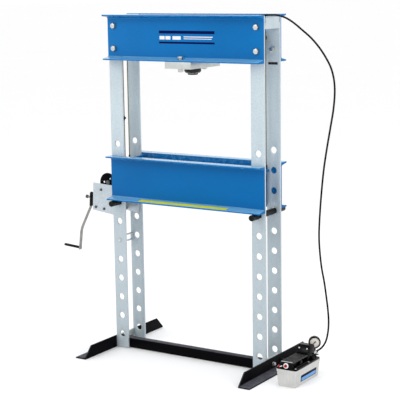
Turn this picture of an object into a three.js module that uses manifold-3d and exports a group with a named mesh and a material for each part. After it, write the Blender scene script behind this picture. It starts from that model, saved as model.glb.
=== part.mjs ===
// Hydraulic shop press: two perforated legs, a fixed head with a ram, a bed that is lifted
// by a hand winch and rests on two pins, and an air-driven foot pump on the floor.
// Millimetres, +X to the right along the width, +Y to the back, +Z up, floor at z = 0.
import * as THREE from 'three';
import { mergeVertices } from 'three/addons/utils/BufferGeometryUtils.js';
import Module from 'manifold-3d';

const wasm = await Module();
wasm.setup();

// ---------------------------------------------------------------- driving dimensions

const GAP = 0.3; // between pieces that touch
const PRESS_CENTRE_X = 50; // ram axis, so that the origin is the middle of the footprint

const LEG_X = 419.1; // centre line of the hole rows
const BAR_WIDTH = 76.2;
const BAR_THICKNESS = 9.5;
const BAR_Y = 76.2; // middle plane of the front and rear bars
const BAR_BOTTOM = 3;
const BAR_TOP = 1752;
const HOLE_PITCH = 101.6;
const FIRST_HOLE_Z = 76.2;
const HOLE_COUNT = 11;
const HOLE_RADIUS = 17;
const STOP_BOLT_HOLE = 5; // the front left leg has a small bolt hole here instead
const STOP_BOLT_RADIUS = 5.3;

const CHANNEL = {
  height: 228.6, flange: 55, web: 6, tip: 7.5, slope: 1 / 6, rootFillet: 9, tipFillet: 4,
};
const BEAM_LENGTH = 914.4;
const HEAD_BOTTOM = 1527;
const HEAD_WEB_Y = BAR_Y + BAR_THICKNESS / 2 + GAP;
const BED_BOTTOM = 802.5;
const BED_WEB_Y = 82;

const HEAD_BOLT = { shank: 8, across: 24, head: 10, nut: 13, washer: 15, washerThick: 2.5 };
const HEAD_BOLT_DZ = 57.15;
const PLATE_BOLT = { shank: 8, across: 24, head: 10, nut: 13, washer: 14, washerThick: 2.5 };
const PLATE_BOLT_Y = 110;

const RAM_PLATE = { halfX: 76.2, halfY: 137, thick: 34 };
const BARREL = { radius: 43, bottom: 1470, top: 1738, bore: 32.6, boreTop: 1722 };
const ROD_RADIUS = 28.5;
const ROD_BOTTOM = 1464;
const PORT_Z = 1700;
const HOSE_RADIUS = 5;

const FOOT = { leg: 63.5, thick: 6.35, length: 711, chamfer: 56 };
const CROSSBAR = { height: 50.8, depth: 40, thick: 5, z: 5.5 };
const STUD_ROWS = [-22, 60];
const STUD_Z = 30;

const PIN_RADIUS = 15;
const PIN_Z = BED_BOTTOM - GAP - PIN_RADIUS;
const PIN_FRONT_Y = -153;
const PIN_REAR_Y = 170;

const ROPE_RADIUS = 2.5;
const ROPE_Y = { left: 40, right: 50 };
const SHEAVE_Z = HEAD_BOTTOM + CHANNEL.height / 2;
const SHEAVE_PITCH_RADIUS = 17.5;
const SHEAVE_RADIUS = 21;
const SHEAVE_X = { left: -448.5, right: 373 };
const ROPE_DROP_X = {
  left: SHEAVE_X.left + SHEAVE_PITCH_RADIUS,
  right: SHEAVE_X.right + SHEAVE_PITCH_RADIUS,
};
const AXLE_RADIUS = 7;
const ROPE_GUIDE_Z = 1206;

const DRUM = { x: -502.5, z: 880, ropeRadius: 36.5, hub: 13, disc: 51, rearFlange: 46 };
const DRUM_HOLES = { radius: 5.5, circle: 25, angles: [55, 175, 295] };
const WINCH = { x: -505, z: 860, tilt: THREE.MathUtils.degToRad(4), plate: 4 };
const CRANK_SHAFT = { y: -53.5, z: -76, radius: 7, tip: 5.5 };
const CRANK_HUB = { x: -109, above: 20, below: 46, halfWidth: 10, thick: 10 };
const CRANK_NUT_X = -135;
const GRIP_Z = -363;
const GRIP_RADIUS = 7;

const PUMP = { x: 651, y: -106, width: 111, length: 252, height: 85, baseWidth: 94, baseLength: 246 };
const LID = { width: 108, length: 248, thick: 9 };
const HOUSING_HALF_WIDTH = 33;
const TREADLE = { y: -148, z: 121, halfLength: 76, halfWidth: 34, thick: 7 };
const AIR_INLET = { x: 652, z: 107 };
const OUTLET = { x: 665, z: 106.5 };
const GAUGE = { x: 668, y: 30, z: 159.5, radius: 30.5, stemBottom: 116, turn: THREE.MathUtils.degToRad(30) };

// Free route of the hose, from the ram's coupler over the right end of the head to the pump
const HOSE_ROUTE = [
  [130.3, 0, 1700], [150, 0, 1700], [190, 0, 1704], [250, 0, 1718], [320, 0, 1738],
  [385, 0, 1749], [440, 0, 1753], [484, 0, 1752], [526, 0, 1741.5], [568, 0, 1719.5],
  [612, 0, 1688], [667, 0, 1645], [712, 1, 1597], [744, 2, 1552], [767, 3, 1510],
  [782, 4, 1458], [786, 6, 1401], [777, 12, 1319], [758, 18, 1226], [738, 24, 1133],
  [718, 30, 1027], [702, 36, 907], [689, 42, 775], [683, 48, 685], [684, 54, 615],
  [691, 60, 532], [702, 66, 462], [711, 72, 385], [716, 80, 315], [716, 88, 255],
  [709, 94, 198], [697, 94, 150], [682, 84, 121], [670, 68, 109], [665, 56, 106.5],
  [665, 45.3, 106.5],
];

// ---------------------------------------------------------------- solids and placing

const BLUE = { color: 0x1f74bd, roughness: 0.4, metalness: 0.1 };
const SILVER = { color: 0xbccad2, roughness: 0.5, metalness: 0.4 };
const BLACK = { color: 0x141419, roughness: 0.5, metalness: 0.1 };
const ZINC = { color: 0xd8dadc, roughness: 0.3, metalness: 0.8 };
const STEEL = { color: 0x9a9c9a, roughness: 0.4, metalness: 0.8 };
const RUBBER = { color: 0x111113, roughness: 0.7, metalness: 0 };
const CREAM = { color: 0xe1ded7, roughness: 0.6, metalness: 0 };
const RED = { color: 0xc0303a, roughness: 0.5, metalness: 0 };

function solidOf(geometry) {
  const bare = geometry.index ? geometry.toNonIndexed() : geometry.clone();
  bare.deleteAttribute('normal');
  bare.deleteAttribute('uv');
  const merged = mergeVertices(bare, 1e-4);
  return new wasm.Manifold(new wasm.Mesh({
    numProp: 3,
    vertProperties: new Float32Array(merged.attributes.position.array),
    triVerts: new Uint32Array(merged.index.array),
  }));
}

function geometryOf(solid) {
  const mesh = solid.getMesh();
  const geometry = new THREE.BufferGeometry();
  geometry.setAttribute('position', new THREE.BufferAttribute(mesh.vertProperties, 3));
  geometry.setIndex(new THREE.BufferAttribute(mesh.triVerts, 1));
  geometry.computeVertexNormals();
  return geometry;
}

function join(...geometries) {
  return geometryOf(geometries.map(solidOf).reduce((all, next) => all.add(next)));
}

function cut(geometry, ...tools) {
  return geometryOf(tools.map(solidOf).reduce((rest, tool) => rest.subtract(tool), solidOf(geometry)));
}

function box([x0, x1], [y0, y1], [z0, z1]) {
  const geometry = new THREE.BoxGeometry(x1 - x0, y1 - y0, z1 - z0);
  return geometry.translate((x0 + x1) / 2, (y0 + y1) / 2, (z0 + z1) / 2);
}

// A round bar along an axis, from one coordinate on that axis to another
function bar(axis, radius, from, to, [a, b] = [0, 0], sides = 16) {
  const geometry = new THREE.CylinderGeometry(radius, radius, to - from, sides);
  const middle = (from + to) / 2;
  if (axis === 'x') {
    return geometry.rotateZ(-Math.PI / 2).translate(middle, a, b);
  }
  if (axis === 'y') {
    return geometry.translate(a, middle, b);
  }
  return geometry.rotateX(Math.PI / 2).translate(a, b, middle);
}

// A turned piece: profile points are [radius, distance along the axis]
function turned(axis, profile, [a, b] = [0, 0], sides = 24) {
  const points = profile.map(([radius, along]) => new THREE.Vector2(radius, along));
  const closed = points[0].x > 0 || points.at(-1).x > 0;
  const outline = closed ? [...points, points[0].clone()] : points;
  const geometry = new THREE.LatheGeometry(outline, sides);
  if (axis === 'x') {
    return geometry.rotateZ(-Math.PI / 2).translate(0, a, b);
  }
  if (axis === 'y') {
    return geometry.translate(a, 0, b);
  }
  return geometry.rotateX(Math.PI / 2).translate(a, b, 0);
}

// An outline in the XZ plane, made solid between two depths
function slab(shape, y0, y1) {
  const geometry = new THREE.ExtrudeGeometry(shape,
    { depth: y1 - y0, bevelEnabled: false, curveSegments: 6 });
  return geometry.rotateX(Math.PI / 2).translate(0, y1, 0);
}

// A flat (y, z) shape as thick as from x0 to x1
function slabX(shape, x0, x1) {
  const geometry = new THREE.ExtrudeGeometry(shape,
    { depth: x1 - x0, bevelEnabled: false, curveSegments: 10 });
  geometry.applyMatrix4(new THREE.Matrix4().makeBasis(
    new THREE.Vector3(0, 1, 0), new THREE.Vector3(0, 0, 1), new THREE.Vector3(1, 0, 0)));
  return geometry.translate(x0, 0, 0);
}

function outline(points) {
  return new THREE.Shape(points.map(([x, y]) => new THREE.Vector2(x, y)));
}

// A path that passes straight from point to point, one step to each stretch
class PointPath extends THREE.Curve {
  constructor(points) {
    super();
    this.points = points.map(([x, y, z]) => new THREE.Vector3(x, y, z));
  }

  getPoint(t, target = new THREE.Vector3()) {
    const place = t * (this.points.length - 1);
    const index = Math.min(Math.floor(place), this.points.length - 2);
    return target.lerpVectors(this.points[index], this.points[index + 1], place - index);
  }

  getPointAt(u, target) {
    return this.getPoint(u, target);
  }

  getTangentAt(u, target) {
    return this.getTangent(u, target);
  }
}

function ring(radius, sides) {
  const circle = new THREE.Path().absarc(0, 0, radius, 0, 2 * Math.PI);
  return new THREE.Shape(circle.getSpacedPoints(sides).slice(0, sides));
}

function swept(radius, path, steps, sides = 8) {
  return new THREE.ExtrudeGeometry(ring(radius, sides), { steps, extrudePath: path, bevelEnabled: false });
}

function arc([x, y, z], radius, fromDegrees, toDegrees, steps) {
  return Array.from({ length: steps + 1 }, (_, i) => {
    const angle = THREE.MathUtils.degToRad(fromDegrees + (toDegrees - fromDegrees) * i / steps);
    return [x + radius * Math.cos(angle), y, z + radius * Math.sin(angle)];
  });
}

function add(group, name, geometry, finish) {
  const mesh = new THREE.Mesh(geometry, new THREE.MeshStandardMaterial(finish));
  mesh.name = name;
  group.add(mesh);
  return mesh;
}

const SIDES = [['left', -1], ['right', 1]];
const DEPTHS = [['front', -1], ['rear', 1]];

// ---------------------------------------------------------------- rolled sections

// A rolled channel's outline: flat web back, sloped flanges, rounded roots and tips
function channelShape() {
  const { height, flange, web, tip, slope, rootFillet, tipFillet } = CHANNEL;
  const thicknessAt = (out) => tip + (flange - out) * slope;
  const shape = new THREE.Shape();
  shape.moveTo(0, 0);
  shape.lineTo(flange, 0);
  shape.lineTo(flange, tip - tipFillet);
  shape.quadraticCurveTo(flange, tip, flange - tipFillet, thicknessAt(flange - tipFillet));
  shape.lineTo(web + rootFillet, thicknessAt(web + rootFillet));
  shape.quadraticCurveTo(web, thicknessAt(web), web, thicknessAt(web) + rootFillet);
  shape.lineTo(web, height - thicknessAt(web) - rootFillet);
  shape.quadraticCurveTo(web, height - thicknessAt(web), web + rootFillet,
    height - thicknessAt(web + rootFillet));
  shape.lineTo(flange - tipFillet, height - thicknessAt(flange - tipFillet));
  shape.quadraticCurveTo(flange, height - tip, flange, height - tip + tipFillet);
  shape.lineTo(flange, height);
  shape.lineTo(0, height);
  return shape;
}

// A channel along X, with its web's back at webY and its flanges pointing outward
function channel(side, webY, bottom) {
  const geometry = new THREE.ExtrudeGeometry(channelShape(),
    { depth: BEAM_LENGTH, bevelEnabled: false, curveSegments: 4 });
  const outward = new THREE.Vector3(0, side, 0);
  const up = new THREE.Vector3(0, 0, 1);
  const along = new THREE.Vector3().crossVectors(outward, up);
  geometry.applyMatrix4(new THREE.Matrix4().makeBasis(outward, up, along));
  return geometry.translate(-side * BEAM_LENGTH / 2, side * webY, bottom);
}

// ---------------------------------------------------------------- fasteners

// A bolt down -Z with its head's seat at z = 0, and its nut on the far side of the grip
function bolt({ shank, across, head, nut, washer, washerThick }, grip) {
  const hexRadius = across / Math.sqrt(3);
  const hex = (from, to) => bar('z', hexRadius, from, to, [0, 0], 6);
  return join(
    bar('z', shank, -grip - nut - washerThick - 1.5, washerThick + 1, [0, 0], 10),
    bar('z', washer, 0, washerThick, [0, 0], 12),
    hex(washerThick, washerThick + head),
    bar('z', washer, -grip - washerThick, -grip, [0, 0], 12),
    hex(-grip - washerThick - nut, -grip - washerThick),
  );
}

// ---------------------------------------------------------------- frame

function addUprights(group) {
  for (const [sideName, side] of SIDES) {
    for (const [depthName, depth] of DEPTHS) {
      const half = BAR_WIDTH / 2;
      const inner = depth * BAR_Y - BAR_THICKNESS / 2;
      const outer = depth * BAR_Y + BAR_THICKNESS / 2;
      const x = side * LEG_X;
      const holes = [];
      for (let i = 0; i < HOLE_COUNT; i++) {
        const small = sideName === 'left' && depthName === 'front' && i === STOP_BOLT_HOLE;
        const z = FIRST_HOLE_Z + i * HOLE_PITCH;
        const radius = small ? STOP_BOLT_RADIUS : HOLE_RADIUS;
        holes.push(bar('y', radius, inner - 1, outer + 1, [x, z], 12));
      }
      for (const dz of [-HEAD_BOLT_DZ, HEAD_BOLT_DZ]) {
        holes.push(bar('y', HEAD_BOLT.shank + 0.5, inner - 1, outer + 1, [x, SHEAVE_Z + dz], 12));
      }
      const blank = box([x - half, x + half], [inner, outer], [BAR_BOTTOM, BAR_TOP]);
      add(group, `upright_${depthName}_${sideName}`, cut(blank, ...holes), SILVER);
    }
  }
}

function addHead(group) {
  for (const [depthName, depth] of DEPTHS) {
    const holes = [];
    for (const [, side] of SIDES) {
      for (const dz of [-HEAD_BOLT_DZ, HEAD_BOLT_DZ]) {
        const middle = depth * (HEAD_WEB_Y + CHANNEL.web / 2);
        const axis = [side * LEG_X, SHEAVE_Z + dz];
        holes.push(bar('y', HEAD_BOLT.shank + 0.5, middle - 5, middle + 5, axis, 12));
      }
    }
    const axis = [0, depth * PLATE_BOLT_Y];
    holes.push(bar('z', PLATE_BOLT.shank + 0.5, HEAD_BOTTOM - 2, HEAD_BOTTOM + 25, axis));
    const blank = channel(depth, HEAD_WEB_Y, HEAD_BOTTOM);
    add(group, `head_channel_${depthName}`, cut(blank, ...holes), BLUE);
  }
}

function addHeadBolts(group) {
  const seat = HEAD_WEB_Y + CHANNEL.web + GAP;
  const nutFace = BAR_Y - BAR_THICKNESS / 2 - GAP;
  for (const [depthName, depth] of DEPTHS) {
    for (const [sideName, side] of SIDES) {
      for (const [levelName, level] of [['lower', -1], ['upper', 1]]) {
        const mesh = add(group, `head_bolt_${depthName}_${sideName}_${levelName}`,
          bolt(HEAD_BOLT, seat - nutFace), ZINC);
        mesh.rotation.x = -depth * Math.PI / 2;
        mesh.position.set(side * LEG_X, depth * seat, SHEAVE_Z + level * HEAD_BOLT_DZ);
      }
    }
  }
}

function addRamPlate(group) {
  const top = HEAD_BOTTOM - GAP;
  const bottom = top - RAM_PLATE.thick;
  const blank = box([-RAM_PLATE.halfX, RAM_PLATE.halfX], [-RAM_PLATE.halfY, RAM_PLATE.halfY], [bottom, top]);
  const holes = DEPTHS.map(([, depth]) => (
    bar('z', PLATE_BOLT.shank + 0.5, bottom - 1, top + 1, [0, depth * PLATE_BOLT_Y])));
  holes.push(bar('z', BARREL.radius + 0.4, bottom - 1, top + 1, [0, 0], 24));
  add(group, 'ram_plate', cut(blank, ...holes), STEEL);

  // The head's seat clears the sloping inside of the flange at the washer's inner edge
  const washerInner = PLATE_BOLT_Y - HEAD_WEB_Y - PLATE_BOLT.washer;
  const seat = HEAD_BOTTOM + CHANNEL.tip + (CHANNEL.flange - washerInner) * CHANNEL.slope + GAP;
  for (const [depthName, depth] of DEPTHS) {
    const mesh = add(group, `ram_plate_bolt_${depthName}`, bolt(PLATE_BOLT, seat - bottom + GAP), ZINC);
    mesh.position.set(0, depth * PLATE_BOLT_Y, seat);
  }
}

// Folded plates that hold the front and rear bars of a leg apart, under the hose's crest
function addTopSpacers(group) {
  const halfY = BAR_Y - BAR_THICKNESS / 2 - GAP;
  const outer = LEG_X + BAR_WIDTH / 2;
  const [bottom, top] = [1688, 1742];
  const thick = 5;
  const fold = 26;
  for (const [sideName, side] of SIDES) {
    const span = (from, to) => [from, to].map((x) => side * x).sort((a, b) => a - b);
    add(group, `top_spacer_${sideName}`, join(
      box(span(outer - thick, outer), [-halfY, halfY], [bottom, top]),
      box(span(outer - 12, outer), [-halfY, -halfY + thick], [top - fold, top]),
      box(span(outer - 12, outer), [halfY - thick, halfY], [top - fold, top]),
    ), SILVER);
  }
}

// ---------------------------------------------------------------- base

function footGeometry(side) {
  const inner = LEG_X + BAR_WIDTH / 2 + GAP;
  const half = FOOT.length / 2;
  const section = outline([
    [0, 0], [FOOT.leg, 0], [FOOT.leg, FOOT.thick], [FOOT.thick + 5, FOOT.thick],
    [FOOT.thick + 1.5, FOOT.thick + 1.5], [FOOT.thick, FOOT.thick + 5], [FOOT.thick, FOOT.leg], [0, FOOT.leg],
  ]);
  const angle = new THREE.ExtrudeGeometry(section, { depth: FOOT.length, bevelEnabled: false });
  const outward = new THREE.Vector3(side, 0, 0);
  const up = new THREE.Vector3(0, 0, 1);
  const along = new THREE.Vector3().crossVectors(outward, up);
  angle.applyMatrix4(new THREE.Matrix4().makeBasis(outward, up, along));
  angle.translate(side * inner, -along.y * half, 0);
  const across = [side * inner - FOOT.leg - 9, side * inner + FOOT.leg + 9];
  const tools = [-1, 1].map((end) => {
    const corner = new THREE.ExtrudeGeometry(outline([
      [end * (half + 1), FOOT.thick], [end * half, FOOT.thick], [end * (half - FOOT.chamfer), FOOT.leg + 1],
      [end * (half + 1), FOOT.leg + 1],
    ]), { depth: across[1] - across[0], bevelEnabled: false });
    const basis = new THREE.Matrix4().makeBasis(
      new THREE.Vector3(0, 1, 0), new THREE.Vector3(0, 0, 1), new THREE.Vector3(1, 0, 0));
    return corner.applyMatrix4(basis).translate(across[0], 0, 0);
  });
  for (const y of STUD_ROWS) {
    tools.push(bar('x', 7, side * inner - 10, side * inner + 10, [y, STUD_Z]));
  }
  return cut(angle, ...tools);
}

// A plate between the two bars of a leg, with two studs through the foot and their nuts
function baseSpacerGeometry(side) {
  const halfY = BAR_Y - BAR_THICKNESS / 2 - GAP;
  const face = LEG_X + BAR_WIDTH / 2;
  const nutSeat = face + FOOT.thick + 2 * GAP;
  const span = (from, to) => [from, to].map((x) => side * x).sort((a, b) => a - b);
  const frontEdge = -halfY + CROSSBAR.depth + 2;
  const pieces = [
    box(span(face - 10, face), [frontEdge, halfY], [8, 66]),
    box(span(face - 10, face), [-halfY, halfY], [60, 66]),
  ];
  for (const y of STUD_ROWS) {
    const stud = (radius, from, to, sides) => bar('x', radius, ...span(from, to), [y, STUD_Z], sides);
    pieces.push(stud(6, face - 14, nutSeat + 14, 10));
    pieces.push(stud(10.4, face - 17, face - 9.5, 6));
    pieces.push(stud(10.4, nutSeat, nutSeat + 10, 6));
  }
  return join(...pieces);
}

function addBase(group) {
  for (const [sideName, side] of SIDES) {
    add(group, `foot_${sideName}`, footGeometry(side), BLACK);
    add(group, `base_spacer_${sideName}`, baseSpacerGeometry(side), SILVER);
  }
  const halfX = LEG_X + BAR_WIDTH / 2;
  const front = -BAR_Y + BAR_THICKNESS / 2 + GAP;
  const { height, depth, thick, z } = CROSSBAR;
  add(group, 'crossbar', join(
    box([-halfX, halfX], [front, front + thick], [z, z + height]),
    box([-halfX, halfX], [front, front + depth], [z + height - thick, z + height]),
  ), BLACK);
}

// ---------------------------------------------------------------- ram

function addCylinder(group) {
  const { radius, bottom, top, bore, boreTop } = BARREL;
  add(group, 'cylinder_barrel', turned('z', [
    [0, top], [radius - 4, top], [radius, top - 4], [radius, bottom + 3], [radius - 3, bottom],
    [bore, bottom],
    [bore, boreTop], [0, boreTop],
  ].reverse(), [0, 0], 24), BLACK);
  add(group, 'cylinder_gland', turned('z', [
    [ROD_RADIUS + GAP, bottom - 4], [38, bottom - 4], [38, bottom - GAP], [bore - GAP, bottom - GAP],
    [bore - GAP, bottom + 19], [ROD_RADIUS + GAP, bottom + 19],
  ], [0, 0], 24), STEEL);
  add(group, 'hose_coupler', turned('x', [
    [0, radius + GAP], [12, radius + GAP], [12, 60], [16, 61], [16, 66], [14.5, 67], [14.5, 92], [16, 93],
    [16, 98], [13, 100], [9, 101], [9, 128], [7, 130], [0, 130],
  ], [0, PORT_Z], 16), ZINC);
  add(group, 'ram_rod', turned('z', [
    [0, ROD_BOTTOM], [ROD_RADIUS - 1, ROD_BOTTOM], [ROD_RADIUS, ROD_BOTTOM + 1], [ROD_RADIUS, 1700],
    [bore - GAP, 1700], [bore - GAP, 1718], [15, 1718], [15, 1500], [0, 1500],
  ], [0, 0], 24), ZINC);
  add(group, 'ram_saddle', turned('z', [
    [0, ROD_BOTTOM - 8], [23, ROD_BOTTOM - 8], [26.5, ROD_BOTTOM - 5], [26.5, ROD_BOTTOM - GAP],
    [0, ROD_BOTTOM - GAP],
  ], [0, 0], 24), STEEL);
}

// The tension spring that draws the ram back, hooked between the barrel's cap and the rod
function addReturnSpring(group) {
  const turns = 7;
  const stepsPerTurn = 8;
  const steps = turns * stepsPerTurn;
  const [low, high] = [1503, 1719];
  const points = Array.from({ length: steps + 1 }, (_, i) => {
    const angle = 2 * Math.PI * i / stepsPerTurn;
    return [9 * Math.cos(angle), 9 * Math.sin(angle), low + (high - low) * i / steps];
  });
  add(group, 'return_spring', swept(1.6, new PointPath(points), steps, 4), STEEL);
}

// ---------------------------------------------------------------- bed

function addBed(group) {
  for (const [depthName, depth] of DEPTHS) {
    add(group, `bed_channel_${depthName}`, channel(depth, BED_WEB_Y, BED_BOTTOM), BLUE);
  }
  const halfY = BED_WEB_Y - GAP;
  for (const [sideName, side] of SIDES) {
    const span = (from, to) => [from, to].map((x) => side * x).sort((a, b) => a - b);
    const ropeY = ROPE_Y[sideName];
    const bracketEnd = Math.abs(ROPE_DROP_X[sideName]) + 11;
    add(group, `bed_spacer_${sideName}`, join(
      box(span(360, 372), [-halfY, halfY], [812, 1021]),
      box(span(371, bracketEnd), [ropeY - 10, ropeY + 10], [986, 998]),
      box(span(371, 380), [ropeY - 10, ropeY + 10], [940, 990]),
    ), BLUE);
    const pin = turned('y', [
      [0, PIN_FRONT_Y], [PIN_RADIUS - 2.5, PIN_FRONT_Y], [PIN_RADIUS, PIN_FRONT_Y + 2.5],
      [PIN_RADIUS, PIN_REAR_Y - 2.5], [PIN_RADIUS - 2.5, PIN_REAR_Y], [0, PIN_REAR_Y],
    ]);
    const mesh = add(group, `bed_pin_${sideName}`, pin, BLACK);
    mesh.position.set(side * LEG_X, 0, PIN_Z);
  }
}

// ---------------------------------------------------------------- lifting ropes

function sheaveProfile(grooves) {
  const low = grooves[0] - 6;
  const high = grooves.at(-1) + 6;
  const bore = AXLE_RADIUS + GAP;
  const profile = [[bore, low], [SHEAVE_RADIUS, low]];
  const root = SHEAVE_PITCH_RADIUS - ROPE_RADIUS - GAP;
  for (const groove of grooves) {
    profile.push([SHEAVE_RADIUS, groove - 3.6], [root + 1, groove - 2.6], [root, groove - 1]);
    profile.push([root, groove + 1], [root + 1, groove + 2.6], [SHEAVE_RADIUS, groove + 3.6]);
  }
  return [...profile, [SHEAVE_RADIUS, high], [bore, high]];
}

function addSheaves(group) {
  const grooves = { left: [ROPE_Y.left, ROPE_Y.right], right: [ROPE_Y.right] };
  const wall = { left: BAR_Y - BAR_THICKNESS / 2 - GAP, right: HEAD_WEB_Y - GAP };
  for (const [sideName] of SIDES) {
    const centre = [SHEAVE_X[sideName], SHEAVE_Z];
    const low = grooves[sideName][0] - 6;
    const high = grooves[sideName].at(-1) + 6;
    const sheave = turned('y', sheaveProfile(grooves[sideName]), [0, 0], 16);
    const mesh = add(group, `sheave_${sideName}`, sheave, ZINC);
    mesh.position.set(centre[0], 0, centre[1]);
    add(group, `sheave_axle_${sideName}`, turned('y', [
      [0, low - 4], [11, low - 4], [11, low - GAP], [AXLE_RADIUS, low - GAP], [AXLE_RADIUS, high + GAP],
      [10, high + GAP], [10, high + 6], [AXLE_RADIUS, high + 6],
      [AXLE_RADIUS, wall[sideName]], [0, wall[sideName]],
    ], centre, 16), STEEL);
  }
}

function addRopes(group) {
  const radius = SHEAVE_PITCH_RADIUS;
  const wound = DRUM.z + 1;
  const leftCentre = (y) => [SHEAVE_X.left, y, SHEAVE_Z];
  const rightCentre = [SHEAVE_X.right, ROPE_Y.right, SHEAVE_Z];
  const riserX = SHEAVE_X.left - radius;
  const left = new PointPath([
    [riserX, ROPE_Y.left, wound], ...arc(leftCentre(ROPE_Y.left), radius, 180, 0, 10),
  ]);
  add(group, 'rope_left', swept(ROPE_RADIUS, left, left.points.length - 1), STEEL);
  const right = new PointPath([
    [riserX, ROPE_Y.right, wound], ...arc(leftCentre(ROPE_Y.right), radius, 180, 90, 5),
    ...arc(rightCentre, radius, 90, 0, 5),
  ]);
  add(group, 'rope_right', swept(ROPE_RADIUS, right, right.points.length - 1), STEEL);
  for (const [sideName] of SIDES) {
    const centre = [ROPE_DROP_X[sideName], ROPE_Y[sideName]];
    const drop = bar('z', ROPE_RADIUS, 998 + GAP, SHEAVE_Z - 3 * GAP, centre, 8);
    add(group, `rope_drop_${sideName}`, drop, STEEL);
  }
  const wall = -(BAR_Y - BAR_THICKNESS / 2 - GAP);
  const back = ROPE_Y.right + 6;
  const plan = outline([
    [riserX + 12, wall], [riserX + 26, wall], [riserX + 26, wall + 10], [riserX + 7, wall + 30],
    [riserX + 7, back], [riserX - 7, back], [riserX - 7, wall + 28], [riserX + 12, wall + 6],
  ]);
  const blank = new THREE.ExtrudeGeometry(plan, { depth: 10, bevelEnabled: false });
  blank.translate(0, 0, ROPE_GUIDE_Z);
  const holes = Object.values(ROPE_Y).map((y) => bar('z', ROPE_RADIUS + 0.7,
    ROPE_GUIDE_Z - 5, ROPE_GUIDE_Z + 15, [riserX, y], 16));
  add(group, 'rope_guide', cut(blank, ...holes), BLACK);
}

// ---------------------------------------------------------------- winch

// The front disc is open through its holes, so the rope's core starts well behind it
function addDrum(group) {
  const { hub, disc, rearFlange } = DRUM;
  const core = DRUM.ropeRadius - ROPE_RADIUS - GAP;
  const bore = AXLE_RADIUS + GAP;
  const blank = turned('y', [
    [bore, -60], [disc, -60], [disc, -56], [hub, -56], [hub, 34], [core, 34],
    [core, 56], [rearFlange, 56], [rearFlange, 59], [bore, 59],
  ], [0, 0], 32);
  const holes = DRUM_HOLES.angles.map((degrees) => {
    const angle = THREE.MathUtils.degToRad(degrees);
    const centre = [DRUM_HOLES.circle * Math.cos(angle), DRUM_HOLES.circle * Math.sin(angle)];
    return bar('y', DRUM_HOLES.radius, -62, -54, centre, 16);
  });
  const drum = add(group, 'winch_drum', cut(blank, ...holes), BLACK);
  drum.position.set(DRUM.x, 0, DRUM.z);
  add(group, 'drum_axle', turned('y', [
    [0, -66.5], [11, -66.5], [11, -60.3], [AXLE_RADIUS, -60.3], [AXLE_RADIUS, 71.4],
    [11, 71.4], [11, 79], [0, 79],
  ], [DRUM.x, DRUM.z], 16), ZINC);
}

// Steel plate of a winch side, in the winch's own (x, z)
function winchPlate(top) {
  return [[-84.7, -136.2], [116, -147], [116, 13], ...top, [-86.7, 9.4]];
}

// Made in the winch's own frame, which is tilted about Y through its origin
function addWinch(group) {
  const winch = new THREE.Group();
  winch.position.set(WINCH.x, 0, WINCH.z);
  winch.rotation.y = WINCH.tilt;
  group.add(winch);

  const toLocal = (x, z) => {
    const point = new THREE.Vector3(x - WINCH.x, 0, z - WINCH.z)
      .applyAxisAngle(new THREE.Vector3(0, 1, 0), -WINCH.tilt);
    return [point.x, point.z];
  };
  const wall = BAR_Y - BAR_THICKNESS / 2 - GAP;
  const shaft = [CRANK_SHAFT.y, CRANK_SHAFT.z];
  add(winch, 'winch_frame', cut(
    join(
      slab(outline(winchPlate([])), -wall, -wall + WINCH.plate),
      slab(outline(winchPlate([[40, 42], [-40, 42]])), wall - WINCH.plate, wall),
      box([-80, 46], [-wall + 2, wall - 2], [-134, -130]),
      box([-74, 48], [-wall + 3, -41], [-98, -36]),
    ),
    bar('y', AXLE_RADIUS + 0.2, 60, 90, toLocal(DRUM.x, DRUM.z)),
    bar('x', CRANK_SHAFT.radius + GAP, -90, 90, shaft),
    bar('y', HOLE_RADIUS, -90, 90, toLocal(-LEG_X, PIN_Z)),
  ), SILVER);

  const hub = [CRANK_HUB.x - CRANK_HUB.thick / 2, CRANK_HUB.x + CRANK_HUB.thick / 2];
  const { radius, tip } = CRANK_SHAFT;
  add(winch, 'crank_shaft', turned('x', [
    [0, CRANK_NUT_X - 10], [4, CRANK_NUT_X - 10], [4, CRANK_NUT_X - 8], [9, CRANK_NUT_X - 8],
    [9, CRANK_NUT_X], [tip, CRANK_NUT_X], [tip, hub[1] + GAP], [radius, hub[1] + GAP], [radius, 52], [0, 52],
  ], shaft, 16), ZINC);

  const lug = new THREE.Shape();
  const top = CRANK_SHAFT.z + CRANK_HUB.above;
  const bottom = CRANK_SHAFT.z - CRANK_HUB.below;
  lug.absarc(CRANK_SHAFT.y, top, CRANK_HUB.halfWidth, 0, Math.PI);
  lug.lineTo(CRANK_SHAFT.y - CRANK_HUB.halfWidth, bottom);
  lug.lineTo(CRANK_SHAFT.y + CRANK_HUB.halfWidth, bottom);
  add(winch, 'crank_hub', cut(slabX(lug, hub[0], hub[1]),
    bar('x', tip + GAP, hub[0] - 5, hub[1] + 5, shaft)), BLACK);

  const armTop = bottom - GAP;
  const arm = outline([
    [-112, armTop], [-171.2, -258.5], [-177.5, GRIP_Z - 10], [-172.5, GRIP_Z - 10.2], [-166, -257.5],
    [-107, armTop],
  ]);
  add(winch, 'crank_arm', join(
    slab(arm, CRANK_SHAFT.y - CRANK_HUB.halfWidth, CRANK_SHAFT.y + CRANK_HUB.halfWidth),
    turned('x', [
      [0, -281], [7, -281], [7, -276], [4, -276], [4, -173], [7, -172.5], [7, -168], [0, -168],
    ], [CRANK_SHAFT.y, GRIP_Z], 16),
  ), ZINC);
  add(winch, 'crank_grip', turned('x', [
    [4 + GAP, -275.5], [GRIP_RADIUS - 1, -275.5], [GRIP_RADIUS, -274.5], [GRIP_RADIUS, -182], [4 + GAP, -182],
  ], [CRANK_SHAFT.y, GRIP_Z], 16), RUBBER);
}

// ---------------------------------------------------------------- foot pump

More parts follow.
